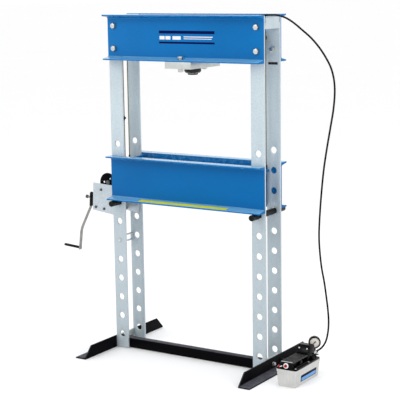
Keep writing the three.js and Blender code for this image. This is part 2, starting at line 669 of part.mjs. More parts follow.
function roundedRectangle(width, length, radius) {
  const [x, y] = [width / 2, length / 2];
  const shape = new THREE.Shape();
  shape.absarc(x - radius, y - radius, radius, 0, Math.PI / 2);
  shape.absarc(-x + radius, y - radius, radius, Math.PI / 2, Math.PI);
  shape.absarc(-x + radius, -y + radius, radius, Math.PI, 1.5 * Math.PI);
  shape.absarc(x - radius, -y + radius, radius, 1.5 * Math.PI, 2 * Math.PI);
  return shape;
}

// A box with round upright edges that narrows towards its base
function taperedTub(inset, floor) {
  const shape = roundedRectangle(PUMP.width - 2 * inset, PUMP.length - 2 * inset, 8 - inset / 2);
  const geometry = new THREE.ExtrudeGeometry(shape,
    { depth: PUMP.height - floor, bevelEnabled: false, curveSegments: 4 });
  const position = geometry.attributes.position;
  for (let i = 0; i < position.count; i++) {
    if (position.getZ(i) < 1) {
      position.setX(i, position.getX(i) * PUMP.baseWidth / PUMP.width);
      position.setY(i, position.getY(i) * PUMP.baseLength / PUMP.length);
    }
  }
  return geometry.translate(PUMP.x, PUMP.y, floor);
}

function addPump(group) {
  const lid = PUMP.height + GAP;
  const lidTop = lid + LID.thick;
  const [x, y] = [PUMP.x, PUMP.y];
  const mouth = box([x - 51, x + 51], [y - 121, y + 121], [PUMP.height - 2, PUMP.height + 5]);
  add(group, 'pump_reservoir', cut(taperedTub(0, 0), taperedTub(4, 4), mouth), CREAM);

  const lidPlate = new THREE.ExtrudeGeometry(roundedRectangle(LID.width, LID.length, 8),
    { depth: LID.thick, bevelEnabled: false, curveSegments: 4 }).translate(x, y, lid);
  const housing = slabX(outline([
    [-70, lidTop - 1], [2, lidTop - 1], [2, 146], [-8, 162], [-48, 164], [-62, 134], [-70, 128],
  ]), x - HOUSING_HALF_WIDTH, x + HOUSING_HALF_WIDTH);
  const across = [x - TREADLE.halfWidth, x + TREADLE.halfWidth];
  add(group, 'pump_body', join(
    lidPlate,
    housing,
    box(across, [-231, -227], [lidTop - 1, 119]),
    box(across, [-228, -212], [lidTop - 1, 107]),
    box([x - 10, x + 10], [TREADLE.y - 8, TREADLE.y + 8], [lidTop - 1, 108]),
    box([x - 34, x + 34], [y - 60, y + 90], [36, lid + 1]),
  ), BLACK);

  const { halfWidth, halfLength, thick } = TREADLE;
  const lugs = [[-halfWidth, 5 - halfWidth], [halfWidth - 5, halfWidth]];
  const treadle = add(group, 'pump_treadle', join(
    box([-halfWidth, halfWidth], [-halfLength, halfLength], [-thick / 2, thick / 2]),
    ...lugs.map((span) => box(span, [-12, 12], [-13, 0])),
  ), BLACK);
  treadle.position.set(x, TREADLE.y, TREADLE.z);

  add(group, 'air_inlet', turned('y', [
    [0, -245], [6, -245], [6, -238], [13, -238], [13, -231 - GAP], [0, -231 - GAP],
  ], [AIR_INLET.x, AIR_INLET.z], 16), RED);
  add(group, 'pump_outlet', turned('y', [
    [0, 2 + GAP], [11, 2 + GAP], [11, 22], [8, 23], [8, 43], [7, 45], [0, 45],
  ], [OUTLET.x, OUTLET.z], 16), ZINC);

  const gauge = new THREE.Group();
  gauge.position.set(GAUGE.x, GAUGE.y, GAUGE.z);
  gauge.rotation.z = GAUGE.turn;
  group.add(gauge);
  const { radius } = GAUGE;
  add(gauge, 'pressure_gauge', join(
    turned('y', [
      [0, -11.5], [2.5, -11.5], [2.5, -9], [radius - 3, -9], [radius - 3, -13], [radius, -11],
      [radius, 10], [radius - 2, 13], [0, 13],
    ], [0, 0], 24),
    bar('z', 6, GAUGE.stemBottom - GAUGE.z, 4 - radius),
  ), BLACK);
  const needle = add(gauge, 'gauge_needle', slab(outline([
    [-2, -8], [2, -8], [0.8, 20], [-0.8, 20],
  ]), -12.6, -11.8), BLACK);
  needle.rotation.y = THREE.MathUtils.degToRad(-135);
}

// ---------------------------------------------------------------- assembly

const press = new THREE.Group();
addUprights(press);
addHead(press);
addHeadBolts(press);
addRamPlate(press);
addTopSpacers(press);
addBase(press);
addCylinder(press);
addReturnSpring(press);
addBed(press);
addSheaves(press);
addRopes(press);
addDrum(press);
addWinch(press);
addPump(press);
const hosePath = new THREE.CatmullRomCurve3(HOSE_ROUTE.map(([x, y, z]) => new THREE.Vector3(x, y, z)));
add(press, 'hose', swept(HOSE_RADIUS, hosePath, 66, 8), RUBBER);
press.position.x = PRESS_CENTRE_X;

const model = new THREE.Group();
model.add(press);
export default model;
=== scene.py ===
"""Finish of the hydraulic shop press: every visible piece, its material, the studio and the camera.

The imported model's frame: +X right along the width, +Y back, +Z up, floor at z = 0. Shapes are built in
millimetres and scaled to metres when a piece is made. The hose, the camera and the studio are in metres.
"""

import math

import bmesh
import bpy
from mathutils import Matrix, Vector
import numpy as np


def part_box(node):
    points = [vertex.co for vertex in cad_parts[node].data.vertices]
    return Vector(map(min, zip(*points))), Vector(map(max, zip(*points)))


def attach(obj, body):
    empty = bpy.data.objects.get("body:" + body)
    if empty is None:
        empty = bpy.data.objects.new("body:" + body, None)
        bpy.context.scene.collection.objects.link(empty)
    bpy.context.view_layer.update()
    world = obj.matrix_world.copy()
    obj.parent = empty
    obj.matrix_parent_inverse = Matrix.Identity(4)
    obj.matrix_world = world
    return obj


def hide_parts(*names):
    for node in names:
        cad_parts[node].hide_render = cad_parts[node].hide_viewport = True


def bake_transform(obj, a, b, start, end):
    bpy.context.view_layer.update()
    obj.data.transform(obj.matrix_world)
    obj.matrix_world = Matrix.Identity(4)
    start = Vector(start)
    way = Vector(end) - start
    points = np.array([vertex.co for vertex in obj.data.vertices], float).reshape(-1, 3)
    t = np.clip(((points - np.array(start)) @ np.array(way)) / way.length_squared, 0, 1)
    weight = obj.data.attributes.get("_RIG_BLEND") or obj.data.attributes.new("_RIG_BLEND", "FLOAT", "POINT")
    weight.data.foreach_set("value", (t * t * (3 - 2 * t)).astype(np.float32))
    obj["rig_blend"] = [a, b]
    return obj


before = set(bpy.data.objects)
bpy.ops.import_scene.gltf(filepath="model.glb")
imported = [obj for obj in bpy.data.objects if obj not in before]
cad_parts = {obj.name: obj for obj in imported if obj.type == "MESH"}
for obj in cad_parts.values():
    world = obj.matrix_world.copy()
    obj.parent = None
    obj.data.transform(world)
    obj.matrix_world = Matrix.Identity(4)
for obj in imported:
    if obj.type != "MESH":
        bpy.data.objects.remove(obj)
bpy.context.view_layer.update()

# ------------------------------------------------------------------ dimensions

MM = 0.001
X, Y, Z = Vector((1, 0, 0)), Vector((0, 1, 0)), Vector((0, 0, 1))
SIDES = (("left", -1), ("right", 1))
DEPTHS = (("front", -1), ("rear", 1))
RAM_X = 50
LEG_X = 419.1

FIRST_HOLE_Z = 76.2
HOLE_PITCH = 101.6
HOLE_COUNT = 11
HOLE_RADIUS = 17
STOP_BOLT_HOLE = 5
STOP_BOLT_RADIUS = 5.3

CHANNEL_WEB = 6
CHANNEL_FLANGE = 55
CHANNEL_TIP = 7.5
CHANNEL_SLOPE = 1 / 6
ROOT_FILLET = 9
TIP_FILLET = 4
FOOT_THICK = 6.35

BOLT_SHANK = 8
BOLT_APOTHEM = 12
BOLT_HEAD = 10
BOLT_NUT = 13
BOLT_WASHER = 2.5
BOLT_TAIL = 1.5
HEAD_BOLT_DZ = 57.15
PLATE_BOLT_Y = 110

SHEAVE_Z = 1641.3
SHEAVE_X = {"left": -448.5, "right": 373}
PITCH_RADIUS = 17.5
ROPE_RADIUS = 2.5
ROPE_Y = {"left": 40, "right": 50}
ROPE_STEP = 2.8

DRUM = Vector((RAM_X - 502.5, 0, 880))
WINCH = Vector((RAM_X - 505, 0, 860))
WINCH_WALL = 71.15
TILT = Matrix.Rotation(math.radians(4), 3, "Y")
SHAFT_Y = -53.5
SHAFT_Z = -76
GRIP_Z = -363
CRANK_HALF = 10

PUMP = Vector((RAM_X + 651, -106, 0))
TUB_TOP = 85
LID_TOP = 94.3
DECK = LID_TOP - 0.8
TREADLE = Vector((RAM_X + 651, -148, 121))
GAUGE = Vector((RAM_X + 668, 30, 159.5))
GAUGE_TURN = Matrix.Rotation(math.radians(30), 3, "Z")

HOSE_RADIUS = 0.005
HOSE_ROUTE = [
    (0.1803, 0, 1.700), (0.200, 0, 1.700), (0.240, 0, 1.704), (0.300, 0, 1.718), (0.370, 0, 1.738),
    (0.435, 0, 1.749), (0.490, 0, 1.753), (0.534, 0, 1.752), (0.576, 0, 1.7415), (0.618, 0, 1.7195),
    (0.662, 0, 1.688), (0.717, 0, 1.645), (0.762, 0.001, 1.597), (0.794, 0.002, 1.552),
    (0.817, 0.003, 1.510), (0.832, 0.004, 1.458), (0.836, 0.006, 1.401), (0.827, 0.012, 1.319),
    (0.808, 0.018, 1.226), (0.788, 0.024, 1.133), (0.768, 0.030, 1.027), (0.752, 0.036, 0.907),
    (0.739, 0.042, 0.775), (0.733, 0.048, 0.685), (0.734, 0.054, 0.615), (0.741, 0.060, 0.532),
    (0.752, 0.066, 0.462), (0.761, 0.072, 0.385), (0.766, 0.080, 0.315), (0.766, 0.088, 0.255),
    (0.759, 0.094, 0.198), (0.747, 0.094, 0.150), (0.732, 0.084, 0.121), (0.720, 0.068, 0.109),
    (0.715, 0.056, 0.1065), (0.715, 0.0453, 0.1065),
]


# ------------------------------------------------------------------ camera

def add_camera():
    azimuth, pitch, roll = (math.radians(a) for a in (32.6186, 10.05246, -0.87779))
    forward = Vector((-math.sin(azimuth) * math.cos(pitch), math.cos(azimuth) * math.cos(pitch),
                      -math.sin(pitch)))
    level = Vector((math.cos(azimuth), math.sin(azimuth), 0))
    above = level.cross(forward)
    right = math.cos(roll) * level + math.sin(roll) * above
    up = math.cos(roll) * above - math.sin(roll) * level
    camera = bpy.data.objects.new("camera", bpy.data.cameras.new("camera"))
    bpy.context.scene.collection.objects.link(camera)
    turn = Matrix((right, up, -forward)).transposed().to_4x4()
    camera.matrix_world = Matrix.Translation((3.50357, -5.34766, 1.94706)) @ turn
    camera.data.sensor_width = 36
    camera.data.lens = 114.333
    camera.data.clip_end = 300
    bpy.context.scene.camera = camera


# ------------------------------------------------------------------ materials

class Surface:
    """A material built from nodes on object coordinates, in metres."""

    def __init__(self, name, **constants):
        self.material = bpy.data.materials.new(name)
        self.material.use_nodes = True
        self.tree = self.material.node_tree
        self.shader = self.tree.nodes["Principled BSDF"]
        self.place = self.node("ShaderNodeTexCoord").outputs["Object"]
        self.set(**constants)

    def node(self, kind, inputs=(), **settings):
        made = self.tree.nodes.new(kind)
        for key, value in settings.items():
            setattr(made, key, value)
        for key, value in dict(inputs).items():
            self.put(made.inputs[key], value)
        return made

    def put(self, socket, value):
        if isinstance(value, bpy.types.NodeSocket):
            self.tree.links.new(value, socket)
        else:
            socket.default_value = value

    def set(self, **values):
        for key, value in values.items():
            self.put(self.shader.inputs[key.replace("_", " ")], value)

    def noise(self, scale, detail=3, roughness=0.55, stretch=None):
        place = self.place
        if stretch:
            place = self.node("ShaderNodeMapping", {"Vector": place, "Scale": stretch}).outputs["Vector"]
        return self.node("ShaderNodeTexNoise", {"Vector": place, "Scale": scale, "Detail": detail,
                                                "Roughness": roughness}).outputs["Fac"]

    def range(self, value, low, high, to_low=0.0, to_high=1.0):
        ends = (value, low, high, to_low, to_high)
        return self.node("ShaderNodeMapRange", enumerate(ends)).outputs["Result"]

    def times(self, a, b):
        return self.node("ShaderNodeMath", enumerate((a, b)), operation="MULTIPLY").outputs[0]

    def plus(self, a, b):
        return self.node("ShaderNodeMath", enumerate((a, b)), operation="ADD").outputs[0]

    def mix(self, share, a, b):
        return self.node("ShaderNodeMix", {0: share, 6: a, 7: b}, data_type="RGBA").outputs[2]

    def edges(self):
        """The mark that the shapes leave on their rounded edges."""
        return self.node("ShaderNodeAttribute", attribute_name="edge").outputs["Fac"]

    def upright(self, vector):
        return self.node("ShaderNodeSeparateXYZ", {0: vector}).outputs["Z"]

    def height(self):
        return self.upright(self.place)

    def upward(self):
        """1 on faces that look straight up, -1 on those that look down."""
        return self.upright(self.node("ShaderNodeNewGeometry").outputs["Normal"])

    def bump(self, value, distance, strength, under=None):
        inputs = {"Distance": distance, "Strength": strength, "Height": value}
        if under is not None:
            inputs["Normal"] = under
        return self.node("ShaderNodeBump", inputs).outputs["Normal"]


def linear(colour):
    """A display colour from 0 to 255 in the scene's linear light."""
    def channel(value):
        value /= 255
        return value / 12.92 if value <= 0.04045 else ((value + 0.055) / 1.055) ** 2.4
    return (*map(channel, colour), 1)


def shade(colour, factor):
    return (*[min(1, c * factor) for c in colour[:3]], 1)


def enamel(name, colour, rough, wear_and_sheen, chip=0.62, dust_and_sheen=0.0, metal=0.0, peel=0.03, coat=0.0,
           shine=0.3, rub=0.55, scratch=0.35, speckle=0.0, shade_under_bed=0.0, painted_top_sheen=0.0):
    """Sprayed paint on steel: orange peel, uneven gloss, rubbed edges, small chips and scratches; dust with
    painted sheen on low up-facing faces, painted sheen on up-facing faces and painted shade below the bed.
    """
    colour, wear_and_sheen = linear(colour), linear(wear_and_sheen)
    s = Surface(name, Metallic=metal, Coat_Weight=coat, Coat_Roughness=0.12, Coat_IOR=1.2,
                Specular_IOR_Level=shine)
    cloud = s.noise(2.6, 4)
    base = s.mix(s.range(cloud, 0.35, 0.65), shade(colour, 0.93), shade(colour, 1.06))
    base = s.mix(s.range(s.noise(420, 2), 0.3, 0.7, 0, 0.10), base, shade(colour, 1.35))
    # Painted shade under the bed: darker below 0.72 m, fading out by 0.84 m.
    if shade_under_bed:
        base = s.mix(s.range(s.height(), 0.72, 0.84, shade_under_bed, 0.0), base, shade(colour, 0.75))
    if speckle:
        base = s.mix(s.range(s.noise(170, 3, 0.7), 0.46, 0.6, 0, speckle), base, shade(colour, 0.62))
    # Painted sheen: up-facing faces mixed towards the pale colour, with a stronger coat reflection on them.
    if painted_top_sheen:
        top_sheen_share = s.range(cloud, 0.3, 0.7, painted_top_sheen * 0.8, painted_top_sheen)
        base = s.mix(s.times(s.range(s.upward(), 0.4, 0.95), top_sheen_share), base, wear_and_sheen)
        s.set(Coat_IOR=s.range(s.upward(), 0.4, 0.95, 1.2, 1.62))
    chips = s.range(s.noise(75, 5, 0.7), chip, chip + 0.03)
    rubbed = s.times(s.edges(), s.range(s.noise(48, 4), 0.42, 0.62))
    base = s.mix(s.times(rubbed, rub), base, wear_and_sheen)
    base = s.mix(s.times(chips, s.edges()), base, shade(wear_and_sheen, 0.6))
    lines = s.range(s.noise(16, 2, stretch=(1, 1, 26)), 0.67, 0.72)
    lines = s.times(lines, s.range(s.noise(9, 2), 0.5, 0.62))
    base = s.mix(s.times(lines, scratch), base, wear_and_sheen)
    # Low up-facing faces: dust and painted sheen, a grey that stands in for the light on their tops.
    if dust_and_sheen:
        low = s.times(s.range(s.height(), 0.02, 0.12, dust_and_sheen, 0.0), s.range(s.upward(), 0.5, 0.9))
        low = s.times(low, s.range(s.noise(30, 5), 0.3, 0.65, 0.6, 1.0))
        base = s.mix(low, base, linear((92, 92, 101)))
    gloss = s.range(s.noise(7, 5), 0.3, 0.7, rough - 0.07, rough + 0.09)
    skin = s.bump(s.noise(650, 2), peel * MM, 0.35)
    s.set(Base_Color=base, Roughness=s.plus(gloss, s.times(rubbed, 0.15)),
          Normal=s.bump(s.noise(28, 2), 0.25 * MM, 0.25, skin))
    return s.material


def bare_metal(name, colour, rough, direction=(1, 1, 1), stain=0.25, fine=900, metal=1.0):
    """Machined or plated metal: tool lines along one direction, dull stains and bright edges."""
    colour = linear(colour)
    s = Surface(name, Metallic=metal)
    cloud = s.noise(34, 5, 0.65)
    base = s.mix(s.range(cloud, 0.38, 0.68, 0, stain), colour, shade(colour, 0.45))
    lines = s.noise(fine, 3, stretch=direction)
    base = s.mix(s.range(lines, 0.35, 0.65, 0, 0.16), base, shade(colour, 1.3))
    base = s.mix(s.times(s.edges(), 0.4), base, shade(colour, 1.35))
    gloss = s.range(lines, 0.3, 0.7, rough - 0.06, rough + 0.1)
    s.set(Base_Color=base, Roughness=s.plus(gloss, s.range(cloud, 0.4, 0.7, 0, 0.12)),
          Normal=s.bump(lines, 0.04 * MM, 0.3))
    return s.material


def galvanised(name):
    """Zinc spangle: flat crystals of slightly different greys."""
    tone = linear((194, 204, 212))
    s = Surface(name, Metallic=0.55)
    cells = s.node("ShaderNodeTexVoronoi", {"Vector": s.place, "Scale": 170})
    grey = s.node("ShaderNodeRGBToBW", {0: cells.outputs["Color"]}).outputs[0]
    base = s.mix(s.range(grey, 0.1, 0.9, 0, 0.5), tone, shade(tone, 0.72))
    base = s.mix(s.range(s.noise(22, 5), 0.45, 0.7, 0, 0.3), base, linear((176, 184, 186)))
    s.set(Base_Color=base, Roughness=s.range(grey, 0, 1, 0.3, 0.5),
          Normal=s.bump(cells.outputs["Distance"], 0.1 * MM, 0.12))
    return s.material


def rope_wire(name):
    """Drawn strands: lighter on the crowns, darker between them."""
    s = Surface(name, Metallic=0.7)
    crown = s.range(s.edges(), 0.0, 1.0)
    base = s.mix(crown, linear((38, 34, 24)), linear((150, 138, 96)))
    base = s.mix(s.range(s.noise(160, 4), 0.45, 0.7, 0, 0.5), base, linear((92, 84, 60)))
    wires = s.noise(1500, 1, stretch=(1, 1, 0.2))
    s.set(Base_Color=base, Roughness=s.range(crown, 0, 1, 0.65, 0.36), Normal=s.bump(wires, 0.1 * MM, 0.4))
    return s.material


def moulded(name, colour, rough, grain, depth, fade=1.12, rubbed=None, metal=0.0, shine=0.3):
    """Rubber or plastic with a moulded grain, slightly uneven, paler on its rounded edges where it is rubbed;
    on the tank and the treadle that paler edge is also painted highlight.
    """
    colour = linear(colour)
    s = Surface(name, Metallic=metal, Specular_IOR_Level=shine)
    base = s.mix(s.range(s.noise(14, 5), 0.35, 0.68), shade(colour, 0.92), shade(colour, fade))
    edge_wear_and_highlight = s.times(s.edges(), s.range(s.noise(90, 4), 0.4, 0.65))
    base = s.mix(s.times(edge_wear_and_highlight, 0.5), base, linear(rubbed) if rubbed else shade(colour, 1.8))
    s.set(Base_Color=base, Roughness=s.range(s.noise(40, 4), 0.3, 0.7, rough - 0.07, rough + 0.08),
          Normal=s.bump(s.noise(grain, 3), depth * MM, 0.6))
    return s.material


# Clean glossy blue, with painted sheen on its up-facing faces.
CLEAN = {"coat": 1.0, "rub": 0.15, "scratch": 0.05, "speckle": 0.12, "painted_top_sheen": 0.75}
BLUE = enamel("blue_enamel", (4, 107, 174), 0.36, (126, 190, 226), shine=0.02, **CLEAN)
# A darker copy of the blue for the bed: painted shade.
BLUE_IN_SHADE = enamel("blue_enamel_in_shade", (0, 98, 162), 0.36, (126, 190, 226), shine=0.0, **CLEAN)
# Silver paint with painted shade below the bed.
SILVER = enamel("silver_enamel", (192, 205, 212), 0.46, (225, 232, 236), chip=0.7, metal=0.2, peel=0.05,
                speckle=0.3, shade_under_bed=0.55)
# Black paint with dust and painted sheen on its low up-facing faces.
BLACK = enamel("black_enamel", (5, 5, 8), 0.42, (34, 34, 36), dust_and_sheen=0.9, shine=0.03)
BARREL_BLACK = enamel("barrel_enamel", (12, 12, 15), 0.3, (80, 80, 82), coat=0.2)
PUMP_BLACK = enamel("pump_enamel", (4, 4, 6), 0.25, (40, 40, 42), peel=0.2, shine=0.08)
ZINC = bare_metal("zinc_plate", (208, 211, 208), 0.3, fine=500, stain=0.3)
STEEL = bare_metal("ground_steel", (198, 202, 200), 0.4, (0.15, 1, 1), metal=0.75)
TURNED = bare_metal("turned_steel", (176, 178, 176), 0.32, (1, 1, 14), fine=400)
CHROME = bare_metal("hard_chrome", (214, 216, 218), 0.12, (1, 1, 8), stain=0.08)
CRANK = bare_metal("crank_plate", (150, 149, 147), 0.32, (1, 1, 0.2), stain=0.5)
# Dull steel for screws; on the washers under bolt heads it is painted shade.
SCREW_STEEL_AND_SHADE = bare_metal("dull_screw_and_washer_shade", (96, 102, 100), 0.42, stain=0.5)
GALVANISED = galvanised("galvanised_sheet")
ROPE = rope_wire("wire_rope")
OXIDE = moulded("black_oxide", (14, 14, 15), 0.4, 900, 0.06, rubbed=(90, 88, 86), metal=0.3, shine=0.2)
HOSE = moulded("hose_rubber", (8, 8, 9), 0.45, 1400, 0.05, shine=0.12)
GRIP = moulded("grip_rubber", (16, 15, 16), 0.55, 1100, 0.1, shine=0.15)
# Tank plastic: the white rim and edge marks are rubbed wear and painted highlight.
TANK = moulded("tank_plastic", (199, 199, 197), 0.5, 800, 0.08, fade=1.03, rubbed=(245, 245, 244))
# Treadle rubber: the pale stud edges are rubbed wear and painted highlight.
TREAD = moulded("treadle_rubber", (24, 24, 25), 0.4, 900, 0.1, rubbed=(120, 121, 118))
RED = moulded("red_anodised", (172, 28, 42), 0.35, 700, 0.03, metal=0.6)
WHITE = moulded("white_print", (236, 236, 236), 0.5, 500, 0.02, fade=1.0)
NAVY = moulded("navy_print", (2, 12, 72), 0.6, 500, 0.02, shine=0.05)
INK_BLUE = moulded("panel_border", (10, 14, 30), 0.5, 500, 0.02, shine=0.1)
YELLOW = moulded("yellow_strip", (222, 226, 40), 0.5, 600, 0.03, fade=1.04, rubbed=(240, 240, 150))
LABEL_BLUE = moulded("label_blue", (92, 152, 214), 0.42, 500, 0.02)
DIAL = moulded("dial_paint", (232, 226, 218), 0.4, 500, 0.01, fade=1.0)
INK = moulded("dial_ink", (22, 22, 24), 0.5, 500, 0.01)


# ------------------------------------------------------------------ places

def placed(origin, a, b, c):
    """The place function of a shape: it lays the shape's own u, v and w along a, b and c."""
    origin = Vector(origin)
    return lambda u, v, w: origin + a * u + b * v + c * w


def spun(place, degrees):
    """The place function with its first two directions turned."""
    cos, sin = math.cos(math.radians(degrees)), math.sin(math.radians(degrees))
    return lambda u, v, w: place(u * cos - v * sin, u * sin + v * cos, w)


def mirrored(place):
    return lambda u, v, w: place(u, v, -w)


ROW = placed((0, 0, 0), X, Y, Z)
FRONT = placed((0, 0, 0), X, Z, Y)


def box(node):
    """The CAD piece's lowest and highest corner, in millimetres."""
    return [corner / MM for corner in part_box(node)]


# ------------------------------------------------------------------ outlines and profiles

def around(sides, way=1):
    angles = (way * math.tau * i / sides for i in range(sides))
    return [(math.cos(a), math.sin(a)) for a in angles]


def circle(u, v, radius, sides=48, hole=False):
    return [(u + radius * cos, v + radius * sin) for cos, sin in around(sides, -1 if hole else 1)]


def corner(u, v, radius, begin, steps):
    """A quarter circle; its points are marked as rounded, except that the last begins a flat."""
    angles = [math.radians(begin + 90 * k / steps) for k in range(steps + 1)]
    return [(u + radius * math.cos(a), v + radius * math.sin(a), a is not angles[-1]) for a in angles]


def rectangle(u0, u1, v0, v1, radius=0, steps=4):
    if not radius:
        return [(u0, v0), (u1, v0), (u1, v1), (u0, v1)]
    corners = ((u1 - radius, v0 + radius, -90), (u1 - radius, v1 - radius, 0),
               (u0 + radius, v1 - radius, 90), (u0 + radius, v0 + radius, 180))
    return [point for u, v, begin in corners for point in corner(u, v, radius, begin, steps)]


def plain(loop):
    """The outline without the marks on its rounded corners."""
    return [point[:2] for point in loop]


def bend(a, b, c, steps):
    """The curve from a to c that b pulls."""
    shares = (k / steps for k in range(steps + 1))
    return [a * (1 - t) ** 2 + b * 2 * t * (1 - t) + c * t ** 2 for t in shares]


def rod(radius, low, high):
    return [(0, low), (radius, low), (radius, high), (0, high)]


def sleeve(inner, outer, low, high):
    return [(inner, low), (outer, low), (outer, high), (inner, high), (inner, low)]


def ridges(first, pitch, count, steps):
    """A turned pattern that repeats along the axis."""
    return [(radius, first + k * pitch + along) for k in range(count) for radius, along in steps]


# ------------------------------------------------------------------ shapes

def shape(build):
    """Makes a function that adds to a mesh into one that takes the sizes first and the mesh later."""
    return lambda *sizes, **options: lambda bm: build(bm, *sizes, **options)


def made(name, materials, slot, *shapes, node=None, body="frame", sharp=32):
    """The finished piece, riding on its body and standing for its CAD node."""
    bm = bmesh.new()
    bm.loops.layers.float.new("edge")
    for build in shapes:
        build(bm)
    bmesh.ops.recalc_face_normals(bm, faces=bm.faces)
    mesh = bpy.data.meshes.new(name)
    bm.to_mesh(mesh)
    bm.free()
    mesh.transform(Matrix.Scale(MM, 4))
    for material in materials if isinstance(materials, list) else [materials]:
        mesh.materials.append(material)
    mesh.polygons.foreach_set("use_smooth", [True] * len(mesh.polygons))
    mesh.set_sharp_from_angle(angle=math.radians(sharp))
    piece = bpy.data.objects.new(name, mesh)
    bpy.context.scene.collection.objects.link(piece)
    if body:
        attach(piece, body)
    if node:
        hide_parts(node)
    return piece


def mark(bm, faces, value=1.0):
    layer = bm.loops.layers.float["edge"]
    for face in faces:
        for loop in face.loops:
            loop[layer] = value


def skin(bm, rings, material=0):
    """Faces between neighbouring rings of as many points; returns one list of faces to each pair."""
    strips = []
    for low, high in zip(rings, rings[1:]):
        strips.append([])
        for i in range(len(low)):
            corners = list(dict.fromkeys((low[i - 1], low[i], high[i], high[i - 1])))
            if len(corners) > 2:
                face = bm.faces.new(corners)
                face.material_index = material
                strips[-1].append(face)
    return strips


def solid(bm, rings, material=0):
    """A skin closed with a flat face at each end."""
    for ring in (rings[0], rings[-1]):
        bm.faces.new(ring).material_index = material
    return skin(bm, rings, material)


def inset(loop, amount):
    """The loop moved into its solid, which lies to the left of its direction of travel."""
    moved = []
    for i, point in enumerate(loop):
        before, here, after = (Vector(p[:2]) for p in (loop[i - 1], point, loop[(i + 1) % len(loop)]))
        a, b = (here - before).normalized(), (after - here).normalized()
        left_a, left_b = Vector((-a.y, a.x)), Vector((-b.y, b.x))
        moved.append(here + (left_a + left_b) * (amount / (1 + max(left_a.dot(left_b), -0.8))))
    return moved


@shape
def prism(bm, loops, start, end, place=ROW, bevel=0.6, steps=2):
    """A flat outline with holes made solid from start to end, with rounded rims.

    Each loop is (u, v) or (u, v, True) for a point on a rounded corner. The outer one turns
    anticlockwise and holes clockwise.
    """
    quarter = [math.pi / 2 * k / steps for k in range(steps + 1)] if bevel else [math.pi / 2]
    levels = [(bevel * (1 - math.sin(a)), start + bevel * (1 - math.cos(a))) for a in quarter]
    levels += [(offset, end - (w - start)) for offset, w in reversed(levels)]
    caps = ([], [])
    for loop in loops:
        rings = []
        for offset, w in levels:
            points = inset(loop, offset) if offset else [Vector(p[:2]) for p in loop]
            rings.append([bm.verts.new(place(p.x, p.y, w)) for p in points])
        for index, strip in enumerate(skin(bm, rings)):
            if bevel and index != len(quarter) - 1:
                mark(bm, strip)
            elif len(loop[0]) > 2:
                mark(bm, [face for i, face in enumerate(strip) if loop[i - 1][2] and loop[i][2]])
        for cap, ring in zip(caps, (rings[0], rings[-1])):
            cap.append(ring)
    for cap in caps:
        if len(cap) == 1:
            bm.faces.new(cap[0])
        else:
            edges = [bm.edges.get((ring[i - 1], ring[i])) for ring in cap for i in range(len(ring))]
            bmesh.ops.triangle_fill(bm, use_beauty=True, edges=edges)


@shape
def block(bm, low, high, bevel=0.6, place=ROW, material=0):
    """A box between two corners with its edges rounded."""
    radius = min(bevel, *[(b - a) / 2.1 for a, b in zip(low, high)])
    outline = rectangle(low[0], high[0], low[1], high[1], radius, 2)
    first = len(bm.faces)
    prism([outline], low[2], high[2], place, radius)(bm)
    bm.faces.ensure_lookup_table()
    for face in bm.faces[first:]:
        face.material_index = material


@shape
def sliced(bm, point, normal):
    """Everything beyond a plane taken away and the cut closed."""
    cut = bmesh.ops.bisect_plane(bm, geom=bm.verts[:] + bm.edges[:] + bm.faces[:],
                                 plane_co=point, plane_no=normal, clear_outer=True)
    rim = [e for e in cut["geom_cut"] if isinstance(e, bmesh.types.BMEdge)]
    filled = bmesh.ops.triangle_fill(bm, use_beauty=True, edges=rim)
    mark(bm, [f for f in filled["geom"] if isinstance(f, bmesh.types.BMFace)], 0.5)


def softened(profile, radius, steps=2):
    """The profile with its corners rounded, and the numbers of the strips that are round."""
    result, marked = [profile[0]], []
    for before, here, after in zip(profile, profile[1:], profile[2:]):
        a, b, c = Vector(before), Vector(here), Vector(after)
        reach = min(radius, (b - a).length * 0.45, (c - b).length * 0.45)
        if reach < 0.001 or abs((b - a).normalized().dot((c - b).normalized())) > 0.97:
            result.append(here)
            continue
        ends = [b + (p - b).normalized() * reach for p in (a, c)]
        marked += range(len(result), len(result) + steps)
        result += [tuple(p) for p in bend(ends[0], b, ends[1], steps)]
    return [*result, profile[-1]], marked


@shape
def turned(bm, profile, place, sides=48, radius=0.6, material=0):
    """A turned solid. The profile is (radius, along), and its corners are rounded."""
    profile, marked = softened(profile, radius)
    closed = profile[0] == profile[-1] and profile[0][0] > 0
    rings = []
    for reach, along in profile[:-1] if closed else profile:
        if reach:
            rings.append([bm.verts.new(place(reach * c, reach * s, along)) for c, s in around(sides)])
        else:
            rings.append([bm.verts.new(place(0, 0, along))] * sides)
    if closed:
        rings.append(rings[0])
    for index, strip in enumerate(skin(bm, rings, material)):
        if index in marked:
            mark(bm, strip)


@shape
def hexagon(bm, apothem, low, high, place, both=False, material=0, sides=48):
    """A hexagon head or nut with its corners turned off."""
    face_radius = apothem * 0.95
    angles = [math.tau * i / sides for i in range(sides)]
    reaches = [apothem / math.cos((a + math.pi / 6) % (math.pi / 3) - math.pi / 6) for a in angles]
    drops = [(reach - face_radius) * math.tan(math.radians(30)) for reach in reaches]

    def ring(radii, heights):
        return [bm.verts.new(place(r * c, r * s, h)) for (c, s), r, h in zip(around(sides), radii, heights)]
    face = [face_radius] * sides
    rings = [ring(face, [low] * sides), ring(reaches, [low + drop for drop in drops])] if both else \
        [ring(reaches, [low] * sides)]
    rings += [ring(reaches, [high - drop for drop in drops]), ring(face, [high] * sides)]
    mark(bm, solid(bm, rings, material)[-1], 0.7)


